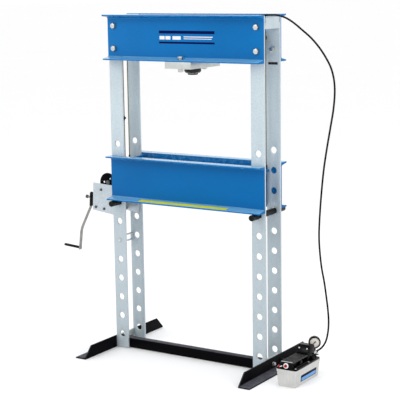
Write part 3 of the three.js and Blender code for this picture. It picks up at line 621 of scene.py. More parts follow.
@shape
def thread(bm, radius, low, high, place, pitch=2, sides=24, material=0):
    """A screw thread with a chamfered end, from low to high."""
    depth = pitch * 0.45
    count = max(4, round((high - low) / pitch * 4))
    rings = []
    for k in range(count + 1):
        along = low + (high - low) * k / count
        ring = []
        for i, (cos, sin) in enumerate(around(sides)):
            phase = (along / pitch - i / sides) % 1
            r = radius - depth * abs(2 * phase - 1)
            if k >= count - 1:
                r = min(r, radius - depth * (0.6 + 0.8 * (k - count + 1)))
            ring.append(bm.verts.new(place(r * cos, r * sin, along)))
        rings.append(ring)
    solid(bm, rings, material)


def along_path(points):
    """(point, normal, binormal, distance) along a path, without twist."""
    tangents = [(points[min(i + 1, len(points) - 1)] - points[max(i - 1, 0)]).normalized()
                for i in range(len(points))]
    normal = Y if abs(tangents[0].y) < 0.9 else X
    distance = 0.0
    frames = []
    for i, (point, tangent) in enumerate(zip(points, tangents)):
        normal = (normal - tangent * normal.dot(tangent)).normalized()
        if i:
            distance += (point - points[i - 1]).length
        frames.append((point, normal, tangent.cross(normal), distance))
    return frames


@shape
def tube(bm, points, radius, sides=16):
    solid(bm, [[bm.verts.new(point + normal * (radius * cos) + side * (radius * sin))
                for cos, sin in around(sides)] for point, normal, side, _ in along_path(points)])


@shape
def strands(bm, points, lay=30, count=6):
    """A wire rope: round strands laid in a helix, marked on their crowns."""
    layer = bm.loops.layers.float["edge"]
    rings = []
    for point, normal, side, distance in along_path(points):
        ring = []
        for i in range(2 * count):
            a = math.tau * (i / (2 * count) + distance / lay)
            r = ROPE_RADIUS * (0.8 if i % 2 else 1)
            ring.append(bm.verts.new(point + normal * (r * math.cos(a)) + side * (r * math.sin(a))))
        rings.append(ring)
    crowns = {vertex for ring in rings for vertex in ring[::2]}
    for strip in solid(bm, rings):
        for face in strip:
            for loop in face.loops:
                loop[layer] = 1.0 if loop.vert in crowns else 0.0


def spaced(points):
    """A rope's path with its points set close enough to show the strands' lay."""
    result = [points[0]]
    for a, b in zip(points, points[1:]):
        count = max(1, math.ceil((b - a).length / ROPE_STEP))
        result += [a.lerp(b, k / count) for k in range(1, count + 1)]
    return result


# ------------------------------------------------------------------ hose

def smooth_route(points, steps=14):
    """The centripetal curve through the route's points."""
    ends = [points[0] * 2 - points[1], *points, points[-1] * 2 - points[-2]]
    result = [points[0]]
    for p0, p1, p2, p3 in zip(ends, ends[1:], ends[2:], ends[3:]):
        d0, d1, d2 = (math.sqrt((b - a).length) for a, b in ((p0, p1), (p1, p2), (p2, p3)))
        t1 = ((p1 - p0) / d0 - (p2 - p0) / (d0 + d1) + (p2 - p1) / d1) * d1
        t2 = ((p2 - p1) / d1 - (p3 - p1) / (d1 + d2) + (p3 - p2) / d2) * d1
        for k in range(1, steps + 1):
            t = k / steps
            result.append(p1 * (2 * t ** 3 - 3 * t ** 2 + 1) + t1 * (t ** 3 - 2 * t ** 2 + t)
                          + p2 * (3 * t ** 2 - 2 * t ** 3) + t2 * (t ** 3 - t ** 2))
    return result


def add_hose():
    path = smooth_route([Vector(p) for p in HOSE_ROUTE])
    inside = HOSE_RADIUS - 0.4 * MM
    hose = made("hydraulic_hose", HOSE, "hose_rubber", tube([p / MM for p in path], inside / MM, 20),
                node="hose")


add_camera()
add_hose()


# ------------------------------------------------------------------ frame

def add_uprights():
    for side_name, side in SIDES:
        for depth_name, _ in DEPTHS:
            node = f"upright_{depth_name}_{side_name}"
            low, high = box(node)
            loops = [rectangle(low.x, high.x, low.z, high.z, 1.2, 2)]
            for i in range(HOLE_COUNT):
                small = node == "upright_front_left" and i == STOP_BOLT_HOLE
                loops.append(circle(RAM_X + side * LEG_X, FIRST_HOLE_Z + i * HOLE_PITCH,
                                    STOP_BOLT_RADIUS if small else HOLE_RADIUS, hole=True))
            made(f"leg_bar_{depth_name}_{side_name}", SILVER, "silver_paint",
                 prism(loops, low.y, high.y, FRONT, 0.9), node=node)


def channel_loop(height):
    """A rolled channel's outline as (out, up): flat back, sloped flanges, rounded root and tips."""
    def thickness(out):
        return CHANNEL_TIP + (CHANNEL_FLANGE - out) * CHANNEL_SLOPE

    def curve(a, b, c, steps=5, rounded=True):
        points = bend(Vector(a), Vector(b), Vector(c), steps)
        return [(p.x, p.y, rounded and k < steps) for k, p in enumerate(points)]
    heel, out, web = 1.2, CHANNEL_FLANGE, CHANNEL_WEB
    tip, root = out - TIP_FILLET, web + ROOT_FILLET
    half = [*curve((0, heel), (0, 0), (heel, 0), 2), *curve((out - heel, 0), (out, 0), (out, heel), 2),
            *curve((out, CHANNEL_TIP - TIP_FILLET), (out, CHANNEL_TIP), (tip, thickness(tip))),
            *curve((root, thickness(root)), (web, thickness(web)), (web, thickness(web) + ROOT_FILLET),
                   rounded=False)]
    return half + [(u, height - v, rounded) for u, v, rounded in reversed(half)]


def add_channels():
    # The bed's beams take the darker copy of the blue: painted shade.
    for beam, body, paint in (("head", "frame", BLUE), ("bed", "bed", BLUE_IN_SHADE)):
        for depth_name, depth in DEPTHS:
            node = f"{beam}_channel_{depth_name}"
            low, high = box(node)
            place = placed((0, low.y if depth > 0 else high.y, low.z), depth * Y, Z, X)
            made(f"{beam}_beam_{depth_name}", paint, "blue_paint",
                 prism([channel_loop(high.z - low.z)], low.x, high.x, place, 0.8), node=node, body=body)


@shape
def bolt(bm, place, grip, washer):
    """Head at +w from its seat at w = 0, shank and nut at -w."""
    top = BOLT_WASHER + BOLT_HEAD
    seat = grip + BOLT_WASHER
    for build in (
        # The washer under the head takes material 1, the darker steel: painted shade under the head.
        turned(rod(washer, 0, BOLT_WASHER), place, 40, 0.7, 1),
        hexagon(BOLT_APOTHEM, BOLT_WASHER, top, place),
        turned(rod(BOLT_APOTHEM * 0.72, top - 0.2, top + 0.05), place, 32, 0.1),
        turned(rod(washer, -seat, -grip), place, 40, 0.7),
        hexagon(BOLT_APOTHEM, -seat - BOLT_NUT, -seat, place, both=True),
        thread(BOLT_SHANK, seat + BOLT_TAIL, seat + BOLT_NUT + BOLT_TAIL, mirrored(place)),
        turned(rod(BOLT_SHANK, 0, -grip), place, 24, 0.1),
    ):
        build(bm)


def add_head_bolts():
    for depth_name, depth in DEPTHS:
        for side_name, side in SIDES:
            for level_name, level in (("lower", -1), ("upper", 1)):
                node = f"head_bolt_{depth_name}_{side_name}_{level_name}"
                low, high = box(node)
                seat = (high if depth > 0 else low).y - depth * (BOLT_WASHER + BOLT_HEAD)
                centre = (RAM_X + side * LEG_X, seat, SHEAVE_Z + level * HEAD_BOLT_DZ)
                place = spun(placed(centre, X, Z, depth * Y), 17 * side + 23 * level + 9 * depth)
                made(f"hex_{node}", [ZINC, SCREW_STEEL_AND_SHADE], "zinc_plate", bolt(place, 16.35, 15), node=node)


def add_ram_plate():
    low, high = box("ram_plate")
    loops = [plain(rectangle(low.x, high.x, low.y, high.y, 1.5, 2)), circle(RAM_X, 0, 43.4, 64, hole=True),
             *[circle(RAM_X, depth * PLATE_BOLT_Y, 8.5, 32, hole=True) for _, depth in DEPTHS]]
    made("bolster_plate", STEEL, "bare_steel", prism(loops, low.z, high.z, bevel=1.1), node="ram_plate")
    for depth_name, depth in DEPTHS:
        node = f"ram_plate_bolt_{depth_name}"
        low, high = box(node)
        head = BOLT_WASHER + BOLT_HEAD
        grip = high.z - low.z - head - BOLT_WASHER - BOLT_NUT - BOLT_TAIL
        place = placed((RAM_X, depth * PLATE_BOLT_Y, high.z - head), X, Y, Z)
        made(f"hex_{node}", [ZINC, SCREW_STEEL_AND_SHADE], "zinc_plate", bolt(place, grip, 14), node=node)


def add_top_spacers():
    fold, thick, radius = 12, 5, 4
    for side_name, side in SIDES:
        node = f"top_spacer_{side_name}"
        low, high = box(node)
        place = placed(((high if side > 0 else low).x, 0, 0), -side * X, Y, Z)
        half = high.y
        inner = half - thick
        shapes = [block((0, -half, low.z), (thick, half, high.z), 0.8, place)]
        for end in (-1, 1):
            y = sorted((end * half, end * inner))
            bead = [(thick, end * inner), (thick + radius, end * inner), (thick, end * (inner - radius))]
            shapes += [block((0, y[0], high.z - 26), (fold, y[1], high.z), 0.8, place),
                       prism([bead[::-end]], high.z - 25.5, high.z - 0.5, place, 0)]
        made(f"leg_top_plate_{side_name}", SILVER, "silver_paint", *shapes, node=node)


def angle_loop(leg, thick, root=7, toe=3):
    """An angle iron's outline, its heel at the origin."""
    inner = [(u, v, False) for u, v, _ in reversed(corner(thick + root, thick + root, root, 180, 4))]
    return [*corner(1, 1, 1, 180, 2), *corner(leg - 1, 1, 1, 270, 2),
            *corner(leg - toe, thick - toe, toe, 0, 4), *inner, *corner(thick - toe, leg - toe, toe, 0, 4),
            *corner(1, leg - 1, 1, 90, 2)]


def add_feet():
    chamfer = 56
    for side_name, side in SIDES:
        node = f"foot_{side_name}"
        low, high = box(node)
        inner = (low if side > 0 else high).x
        leg = high.x - low.x
        cuts = [sliced((inner, end * high.y, FOOT_THICK),
                       Vector((0, end * (leg - FOOT_THICK), chamfer)).normalized()) for end in (-1, 1)]
        made(f"angle_foot_{side_name}", BLACK, "black_paint",
             prism([angle_loop(leg, FOOT_THICK)], low.y, high.y, placed((inner, 0, 0), side * X, Z, Y), 0.8),
             *cuts, node=node)


def add_base_spacers():
    for side_name, side in SIDES:
        node = f"base_spacer_{side_name}"
        half = box(node)[1].y
        face = RAM_X + side * (LEG_X + 38.1)
        place = placed((face, 0, 0), side * X, Y, Z)
        seat = FOOT_THICK + 0.6
        shapes = [block((-10, 42 - half, 8), (0, half, 66), 0.8, place),
                  block((-10, -half, 60), (0, 42.5 - half, 66), 0.8, place)]
        for index, y in enumerate((-22, 60)):
            turn = 11 + 37 * index
            stud = spun(placed((face, y, 30), Y, Z, side * X), turn)
            behind = spun(placed((face - side * 26.5, y, 30), Y, Z, -side * X), turn)
            shapes += [turned(rod(6, -14, seat), stud, 24),
                       hexagon(9, -17, -9.5, behind),
                       turned(sleeve(6.2, 11.5, seat, seat + 1.8), stud, 32, 0.4, index),
                       hexagon(9, seat + 1.8, seat + 10.5, stud, both=True, material=index),
                       thread(6, seat, seat + 14, stud, 1.7, material=index)]
        made(f"foot_spacer_{side_name}", [ZINC, OXIDE], "zinc_plate", *shapes, node=node)


def add_crossbar():
    low, high = box("crossbar")
    width = high.y - low.y
    drop = (high.z - low.z) / width
    loop = [(u, v * drop if v > 20 else v, rounded) for u, v, rounded in angle_loop(width, 5, 5, 2.5)]
    made("cross_angle", BLACK, "black_paint",
         prism([loop], low.x, high.x, placed((0, low.y, high.z), Y, -Z, X), 0.8), node="crossbar")


add_uprights()
add_channels()
add_head_bolts()
add_ram_plate()
add_top_spacers()
add_feet()
add_base_spacers()
add_crossbar()


# ------------------------------------------------------------------ trim on the frame

def add_frame_trim():
    web = placed((RAM_X, -81.25 - CHANNEL_WEB, 0), X, Z, -Y)

    def printed(*sizes):
        return prism([rectangle(*sizes, 1)], 0.05, 0.3, web, 0.1)
    made("head_stripes", NAVY, "blue_paint", printed(-140.5, 185, 1662.8, 1677.2),
         printed(-140.5, 185, 1613.5, 1622.8))
    made("head_bars", WHITE, "blue_paint",
         *[printed(u0, u1, 1633.5, 1650.5) for u0, u1 in ((-137, -107), (-102, -72), (-60, -11))],
         printed(6, 174, 1645.5, 1650), printed(6, 168, 1636.5, 1640))

    bed_z = box("bed_channel_front")[0].z
    flange = placed((RAM_X, -82, bed_z + CHANNEL_TIP + CHANNEL_FLANGE * CHANNEL_SLOPE),
                    X, -Y - CHANNEL_SLOPE * Z, Z - 0.16 * Y)
    made("bed_strip", YELLOW, "blue_paint", prism([rectangle(-262, 262, 20, 50)], 0.1, 0.5, flange, 0.1),
         body="bed")
    # Black sheet on the rear right bar's face: painted shade of a slot.
    made("leg_strip", INK, "silver_paint",
         block((RAM_X + 393, 70.6, 1511.5), (RAM_X + 445, 71.35, 1523.5), 0.3))

    # Small bolt in the front left bar and the folded bracket on the rear left bar
    stop = placed((RAM_X - LEG_X, box("upright_front_left")[0].y, FIRST_HOLE_Z + STOP_BOLT_HOLE * HOLE_PITCH),
                  X, Z, -Y)
    made("stop_bolt", ZINC, "zinc_plate", turned(rod(9, 0.1, 1.4), stop, 32, 0.3),
         hexagon(6.5, 1.4, 6.2, stop), turned(rod(4.8, 2, -16), stop, 20))
    made("rope_bracket", SILVER, "silver_paint",
         *[block((RAM_X - 457, y0, z0), (RAM_X - 441, y1, z1), 0.8) for y0, y1, z0, z1 in (
             (20, 70.8, 591.5, 596), (20, 70.8, 558, 562.5), (66.4, 71.2, 558, 596))])


add_frame_trim()


# ------------------------------------------------------------------ ram

def add_ram():
    axis = placed((RAM_X, 0, 0), X, Y, Z)
    made("barrel_tube", BARREL_BLACK, "black_paint", turned([
        (0, 1738), (38, 1738), (43, 1734), (43, 1716), (42.2, 1715), (42.2, 1713), (43, 1712), (43, 1474),
        (40, 1470), (32.6, 1470), (32.6, 1722), (0, 1722)], axis, 64, 0.8), node="cylinder_barrel")
    made("gland_ring", OXIDE, "black_oxide", turned([
        (28.8, 1466), (34, 1466), (38, 1467), (38, 1469.7), (32.3, 1469.7), (32.3, 1489), (28.8, 1489),
        (28.8, 1466)], axis, 64, 0.5), node="cylinder_gland")
    made("ram_bar", CHROME, "chrome", turned([
        (0, 1464), (27.5, 1464), (28.5, 1465), (28.5, 1700), (32.3, 1700), (32.3, 1718), (15, 1718),
        (15, 1500), (0, 1500)], axis, 64, 0.5), node="ram_rod", body="ram")
    grooves = [(radius + across, z) for radius in (8, 13, 18)
               for across, z in ((0, 1456.4), (0.6, 1457.2), (1.6, 1457.2), (2.2, 1456))]
    made("saddle_pad", OXIDE, "black_oxide", turned([
        (0, 1456.4), (6, 1456.4), *grooves, (23, 1456), (26.5, 1459), (26.5, 1463.7), (0, 1463.7)],
        axis, 64, 0.3), node="ram_saddle", body="ram")

    # Screwed coupler: hexagon on the barrel's port, knurled sleeve and the hose's crimped ferrule
    port = placed((RAM_X, 0, 1700), Y, Z, X)
    knurl = ridges(61.2, 1.9, 16, ((15.8, 0), (15.1, 0.95), (15.1, 1.45)))
    crimp = ridges(107.5, 4.2, 5, ((8.8, 0), (8.2, 1), (8.2, 2.5), (8.8, 3.5)))
    made("port_coupler", ZINC, "zinc_plate", turned(rod(10.5, 43.3, 60), port, 40),
         hexagon(11.2, 44, 54, port, both=True),
         turned([(0, 60), (14.6, 60), (15.8, 61), *knurl, (15.8, 92.5), (15.8, 97), (14.6, 98), (0, 98)],
                port, 48, 0.3),
         hexagon(10.2, 98, 106, port, both=True),
         turned([(0, 106), (8.6, 106), *crimp, (8.6, 128.5), (7, 130), (0, 130)], port, 40, 0.3),
         node="hose_coupler")

    low, high, coil = 1503, 1719, 9
    turns, steps = 24, 18
    angles = [math.tau * k / steps for k in range(turns * steps + 1)]
    points = [axis(coil * math.cos(a), coil * math.sin(a), low + (high - low) * a / angles[-1])
              for a in angles]
    spring = made("draw_spring", TURNED, "bare_steel", tube(points, 1.6, 8), node="return_spring", body=None)
    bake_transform(spring, "frame", "ram", start=(RAM_X * MM, 0, high * MM), end=(RAM_X * MM, 0, low * MM))


add_ram()


# ------------------------------------------------------------------ bed

def add_bed():
    for side_name, side in SIDES:
        rope_x, rope_y = SHEAVE_X[side_name] + PITCH_RADIUS, ROPE_Y[side_name]
        reach = abs(rope_x) + 11
        place = placed((RAM_X, 0, 0), side * X, Y, Z)
        gusset = [(371.5, 986), (371.5, 940), (380, 940), (reach - 8, 986)]
        # The plates take the darker copy of the blue: painted shade.
        made(f"bed_cross_plate_{side_name}", BLUE_IN_SHADE, "blue_paint",
             block((360, -81.7, 812), (372, 81.7, 1021), 1, place),
             block((371.5, rope_y - 10, 986), (reach, rope_y + 10, 998), 1, place),
             prism([gusset], rope_y - 4, rope_y + 4, placed((RAM_X, 0, 0), side * X, Z, Y)),
             node=f"bed_spacer_{side_name}", body="bed")
        # Ferrules in black oxide so they stay as dark as the shaded gap behind the bars: painted shade.
        made(f"rope_ferrule_{side_name}", OXIDE, "black_oxide", turned([
            (0, 998.2), (8.5, 998.2), (8.5, 999.8), (4.5, 999.8), (4.5, 1018), (3.5, 1020), (0, 1020)],
            placed((RAM_X + rope_x, rope_y, 0), X, Y, Z), 28, 0.4), body="bed")

        node = f"bed_pin_{side_name}"
        low, high = box(node)
        centre, radius = (low + high) / 2, (high.x - low.x) / 2
        tip = [(0, 0), (radius - 2.5, 0), (radius, 2.5), (radius, 19), (radius - 1.2, 20.2),
               (radius - 1.2, 23.2), (radius, 24.4)]
        made(f"support_pin_{side_name}", OXIDE, "black_oxide", turned(
            [*[(r, low.y + along) for r, along in tip], (radius, high.y - 2.5), (radius - 2.5, high.y),
             (0, high.y)], placed((centre.x, 0, centre.z), X, Z, Y), 56), node=node, body=f"pin_{side_name}")


add_bed()


# ------------------------------------------------------------------ pulleys and ropes

def add_sheaves():
    grooves = {"left": ROPE_Y.values(), "right": (ROPE_Y["right"],)}
    rim, bore, root = 21, 7.3, PITCH_RADIUS - ROPE_RADIUS - 0.3
    for side_name, _ in SIDES:
        node = f"sheave_{side_name}"
        low, high = (corner.y for corner in box(node))
        axle_low, axle_high = (corner.y for corner in box(f"sheave_axle_{side_name}"))
        place = placed((RAM_X + SHEAVE_X[side_name], 0, SHEAVE_Z), X, Z, Y)
        steps = [(radius, y + along) for y in grooves[side_name] for radius, along in (
            (rim, -3.6), (root + 1.2, -2.7), (root, -1.2), (root, 1.2), (root + 1.2, 2.7), (rim, 3.6))]
        made(f"pulley_{side_name}", OXIDE, "black_oxide", turned(
            [(bore, low), (13.5, low), (14, low + 0.6), (rim - 0.6, low + 0.6), (rim, low + 1.2), *steps,
             (rim, high), (bore, high), (bore, low)], place, 64, 0.4), node=node, body=node)
        made(f"pulley_axle_{side_name}", TURNED, "bare_steel", turned(
            [(0, axle_low), (11, axle_low), (11, low - 0.3), (7, low - 0.3), (7, high + 0.3),
             (10, high + 0.3), (10, high + 6), (7, high + 6), (7, axle_high), (0, axle_high)], place, 40),
            node=f"sheave_axle_{side_name}")


def arc(side_name, y, begin, finish, steps=14):
    """A rope's path over a pulley."""
    place = placed((RAM_X + SHEAVE_X[side_name], y, SHEAVE_Z), X, Z, Y)
    angles = (math.radians(begin + (finish - begin) * k / steps) for k in range(steps + 1))
    return [place(PITCH_RADIUS * math.cos(a), PITCH_RADIUS * math.sin(a), 0) for a in angles]


def add_ropes():
    riser_x = RAM_X + SHEAVE_X["left"] - PITCH_RADIUS
    over = {"left": arc("left", ROPE_Y["left"], 180, 0),
            "right": arc("left", ROPE_Y["right"], 180, 90, 7) + arc("right", ROPE_Y["right"], 90, 0, 7)}
    for side_name, bends in over.items():
        wound = Vector((riser_x, ROPE_Y[side_name], DRUM.z + 1))
        made(f"lift_rope_{side_name}", ROPE, "wire_rope", strands(spaced([wound, *bends])),
             node=f"rope_{side_name}")
        low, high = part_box(f"rope_drop_{side_name}")
        centre = (low + high) / 2
        ends = [Vector((centre.x, centre.y, z)) for z in (high.z, low.z)]
        drop = made(f"hanging_rope_{side_name}", ROPE, "wire_rope", strands(spaced([p / MM for p in ends])),
                    node=f"rope_drop_{side_name}", body=None)
        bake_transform(drop, "frame", "bed", start=tuple(ends[0]), end=tuple(ends[1]))
    low, high = box("rope_guide")
    left, right, corner_x = riser_x - 7, riser_x + 7, riser_x + 12
    outline = [(corner_x, low.y), (high.x, low.y), (high.x, low.y + 10), (right, low.y + 30),
               (right, high.y), (left, high.y), (left, low.y + 28), (corner_x, low.y + 6)]
    loops = [outline, *[circle(riser_x, y, 3.6, 24, hole=True) for y in ROPE_Y.values()]]
    made("rope_comb", BLACK, "black_paint", prism(loops, low.z, high.z, bevel=0.8),
         *[turned(sleeve(2.7, 3.6, low.z - 7, high.z + 7), placed((riser_x, y, 0), X, Y, Z), 20, 0.3)
           for y in ROPE_Y.values()], node="rope_guide")


add_sheaves()
add_ropes()


# ------------------------------------------------------------------ winch

TILTED_X, TILTED_Z = TILT @ X, TILT @ Z
LOCAL = placed(WINCH, TILTED_X, Y, TILTED_Z)
SHAFT = placed(LOCAL(0, SHAFT_Y, SHAFT_Z), Y, TILTED_Z, TILTED_X)


def add_winch_frame():
    wall = WINCH_WALL
    pin = TILT.inverted() @ (Vector((RAM_X - LEG_X, 0, 787.2)) - WINCH)
    axle = TILT.inverted() @ (DRUM - WINCH)
    base, last = [(-84.7, -136.2), (116, -147), (116, 13)], (-86.7, 9.4)
    pin_hole = circle(pin.x, pin.z, HOLE_RADIUS, hole=True)
    axle_hole = circle(axle.x, axle.z, 7.3, 32, hole=True)
    side = placed(WINCH, TILTED_X, TILTED_Z, Y)
    made("winch_plate", GALVANISED, "galvanised",
         prism([[*base, last], pin_hole], -wall, 4 - wall, side, 0.7),
         prism([[*base, (40, 42), (-40, 42), last], pin_hole, axle_hole], wall - 4, wall, side, 0.7),
         block((-80, 3 - wall, -134), (46, wall - 3, -130), 0.8, LOCAL), node="winch_frame")

    # Gearbox behind the front plate, with its lid's screws
    screw = [(0, -39.6), (4, -39.6), (4, -37), (3, -36.2), (0, -36.2)]
    made("winch_gearbox", GALVANISED, "galvanised",
         block((-74, 4.2 - wall, -98), (48, -41, -36), 3, LOCAL),
         block((-68, -41.2, -92), (42, -39.5, -42), 0.8, LOCAL),
         turned([(7.5, -73.8), (14, -73.8), (14, -79), (12, -80), (7.5, -80), (7.5, -73.8)], SHAFT, 36),
         *[turned(screw, placed(LOCAL(x, 0, z), TILTED_X, TILTED_Z, Y), 24, 0.3)
           for x in (-60, 34) for z in (-85, -49)])

    # Small bolts through the front plate
    shapes = []
    for index, (x, z) in enumerate(((-541, 841), (-578, 746), (-524, 740))):
        place = spun(placed((RAM_X + x, -wall, z), X, Z, -Y), 20 + 31 * index)
        shapes += [turned(rod(7.5, 0.1, 1.2), place, 28, 0.3), hexagon(5.5, 1.2, 5.6, place),
                   turned(rod(2.8, 5.8, 5.4), place, 24, 0.1)]
    made("winch_screws", SCREW_STEEL_AND_SHADE, "bare_steel", *shapes)


def add_drum():
    core, rear, bore = 33.7, 46, 7.3
    hole_ring, turn_radius = 25, 36.4
    place = placed(DRUM, X, Z, Y)
    loops = [circle(0, 0, 51, 96), circle(0, 0, bore, 32, hole=True)]
    for a in map(math.radians, (55, 175, 295)):
        loops.append(circle(hole_ring * math.cos(a), hole_ring * math.sin(a), 5.5, 28, hole=True))
    made("drum_wheel", BLACK, "black_paint", prism(loops, -60, -56, place, 0.7), turned(
        [(bore, -56.5), (13, -56.5), (13, 34), (core, 34), (core, 56), (rear - 1.5, 56), (rear, 57.5),
         (rear, 59), (bore, 59), (bore, -56.5)], place, 64), node="winch_drum", body="drum")

    # The last wound turn of each rope
    coil = [(turn_radius * cos, turn_radius * sin) for cos, sin in around(40)]
    made("wound_rope", ROPE, "wire_rope",
         *[strands([place(u, v, y) for u, v in [*coil, coil[0]]]) for y in ROPE_Y.values()], body="drum")

    low, high = (corner.y for corner in box("drum_axle"))
    made("drum_bolt", SCREW_STEEL_AND_SHADE, "zinc_plate",
         turned([(0, low + 0.4), (6, low + 0.4), (7, low + 1.4), (7, high - 1.4), (6, high - 0.4),
                 (0, high - 0.4)], place, 40, 0.4),
         turned(sleeve(7.1, 13, -60.3, -61.8), place, 40, 0.4),
         hexagon(9.5, low + 0.8, -61.8, place, both=True), hexagon(9.5, 71.4, high, place, both=True),
         node="drum_axle")


@shape
def flat_bar(bm, line):
    """The crank's bar along a line in the winch's tilted frame."""
    section = rectangle(-2.5, 2.5, -CRANK_HALF, CRANK_HALF, 1.2, 3)
    rings = []
    for i, point in enumerate(line):
        ahead = line[min(i + 1, len(line) - 1)] - line[max(i - 1, 0)]
        across = Vector((-ahead.y, ahead.x)).normalized()
        rings.append([bm.verts.new(LOCAL(point.x + across.x * u, SHAFT_Y + v, point.y + across.y * u))
                      for u, v, _ in section])
    for strip in solid(bm, rings):
        mark(bm, [face for i, face in enumerate(strip) if i % 4])


def add_crank():
    nut = 135
    back = mirrored(SHAFT)
    made("crank_spindle", [CRANK, OXIDE], "zinc_plate",
         turned([(0, 52), (6, 52), (7, 51), (7, -103.7), (0, -103.7)], SHAFT, 40, 0.4, 1),
         turned(rod(5.5, -103.6, -nut), SHAFT, 40, 0.4),
         turned(sleeve(5.6, 9.5, 1.8 - nut, -nut), SHAFT, 36, 0.4),
         hexagon(8.2, nut, nut + 7.8, back, both=True, material=1),
         thread(4.5, nut + 4, nut + 10.2, back, 1.6), node="crank_shaft", body="crank")

    top, bottom, half = SHAFT_Z + 20, SHAFT_Z - 46, CRANK_HALF
    outline = [(SHAFT_Y + half * math.cos(math.pi * k / 14), top + half * math.sin(math.pi * k / 14))
               for k in range(15)]
    outline += [(SHAFT_Y - half, bottom), (SHAFT_Y + half, bottom)]
    made("crank_lug", OXIDE, "black_oxide",
         prism([outline, circle(SHAFT_Y, SHAFT_Z, 5.8, 28, hole=True)], -114, -104,
               placed(WINCH, Y, TILTED_Z, TILTED_X), 1.3, 3), node="crank_hub", body="crank")

    # Bent flat bar with a softened bend, then the spindle that carries the grip
    start, knee, finish = (Vector(p) for p in ((-109.5, bottom - 0.3), (-168.6, -258), (-175, -373.1)))
    line = [start, *bend(knee.lerp(start, 0.18), knee, knee.lerp(finish, 0.18), 8), finish]
    spindle = placed(LOCAL(0, SHAFT_Y, GRIP_Z), Y, TILTED_Z, TILTED_X)
    made("crank_bar", CRANK, "zinc_plate", flat_bar(line), turned(
        [(0, -281), (5.5, -281), (7, -279.5), (7, -276), (4, -276), (4, -177), (7.8, -177), (7.8, -171.5),
         (6.8, -168.5), (0, -168)], spindle, 36, 0.5), node="crank_arm", body="crank")
    rings = ridges(-272, 5.1, 17, ((7, 0), (6.4, 0.6), (6.4, 1.6), (7, 2.2)))
    made("hand_grip", GRIP, "grip_rubber", turned(
        [(4.3, -275.5), (6.2, -275.5), (7, -274), *rings, (7, -183.5), (6.2, -182), (4.3, -182),
         (4.3, -275.5)], spindle, 36, 0.2), node="crank_grip", body="grip")


add_winch_frame()
add_drum()
add_crank()


# ------------------------------------------------------------------ foot pump

@shape
def tub(bm, half_x, half_y, round_corner):
    """Tapered tub: rounded upright edges, shallow ribs and a rim."""
    outline = [Vector(p[:2]) for p in rectangle(-half_x, half_x, -half_y, half_y, round_corner, 6)]
    dense = []
    for a, b in zip(outline, outline[1:] + outline[:1]):
        count = max(1, round((b - a).length / 2.8))
        dense += [a.lerp(b, k / count) for k in range(count)]

    def wave(p):
        ends = abs(abs(p.y) - half_y) < 0.01
        if ends:
            along, ribbed = p.x, abs(p.x) <= half_x - round_corner
        else:
            along, ribbed = p.y, 92 <= abs(p.y) < half_y - round_corner
        return 0.5 + 0.5 * math.tanh(6 * math.cos(math.tau * along / 23.5)) if ribbed else 0
    levels = [(0, 3, 0), (1.5, 1.8, 0), (4, 1.2, 0.2), (10, 1.2, 1), (68, 1.2, 1), (72.5, 1.2, 0),
              (73.5, 0, 0), (84.5, 0, 0), (TUB_TOP, 1, 0)]
    rings = []
    for z, back, ribs in levels:
        grow = z / TUB_TOP
        ring = []
        for p in dense:
            depth = back + 2.2 * ribs * wave(p)
            x = p.x / half_x * (47 + 8.5 * grow) * (1 - depth / half_x)
            y = p.y / half_y * (123 + 3 * grow) * (1 - depth / half_y)
            ring.append(bm.verts.new(PUMP + Vector((x, y, z))))
        rings.append(ring)
    strips = solid(bm, rings)
    mark(bm, strips[0] + strips[-1] + strips[5])


def add_reservoir():
    made("pump_tub", TANK, "tank_plastic", tub(55.5, 126, 8), node="pump_reservoir", sharp=40)
    # Plain two-tone panel on the right side
    side = placed((PUMP.x + 46, 0, 0), Y, Z + 8.5 / TUB_TOP * X, X)
    made("tub_panel", INK_BLUE, "tank_plastic", prism([rectangle(-174, -16, 18, 50, 2)], 0, 0.6, side, 0.1))
    made("tub_panel_field", LABEL_BLUE, "tank_plastic",
         prism([rectangle(-168, -19, 21, 37.5, 1.5)], 0.6, 0.8, side, 0.1))


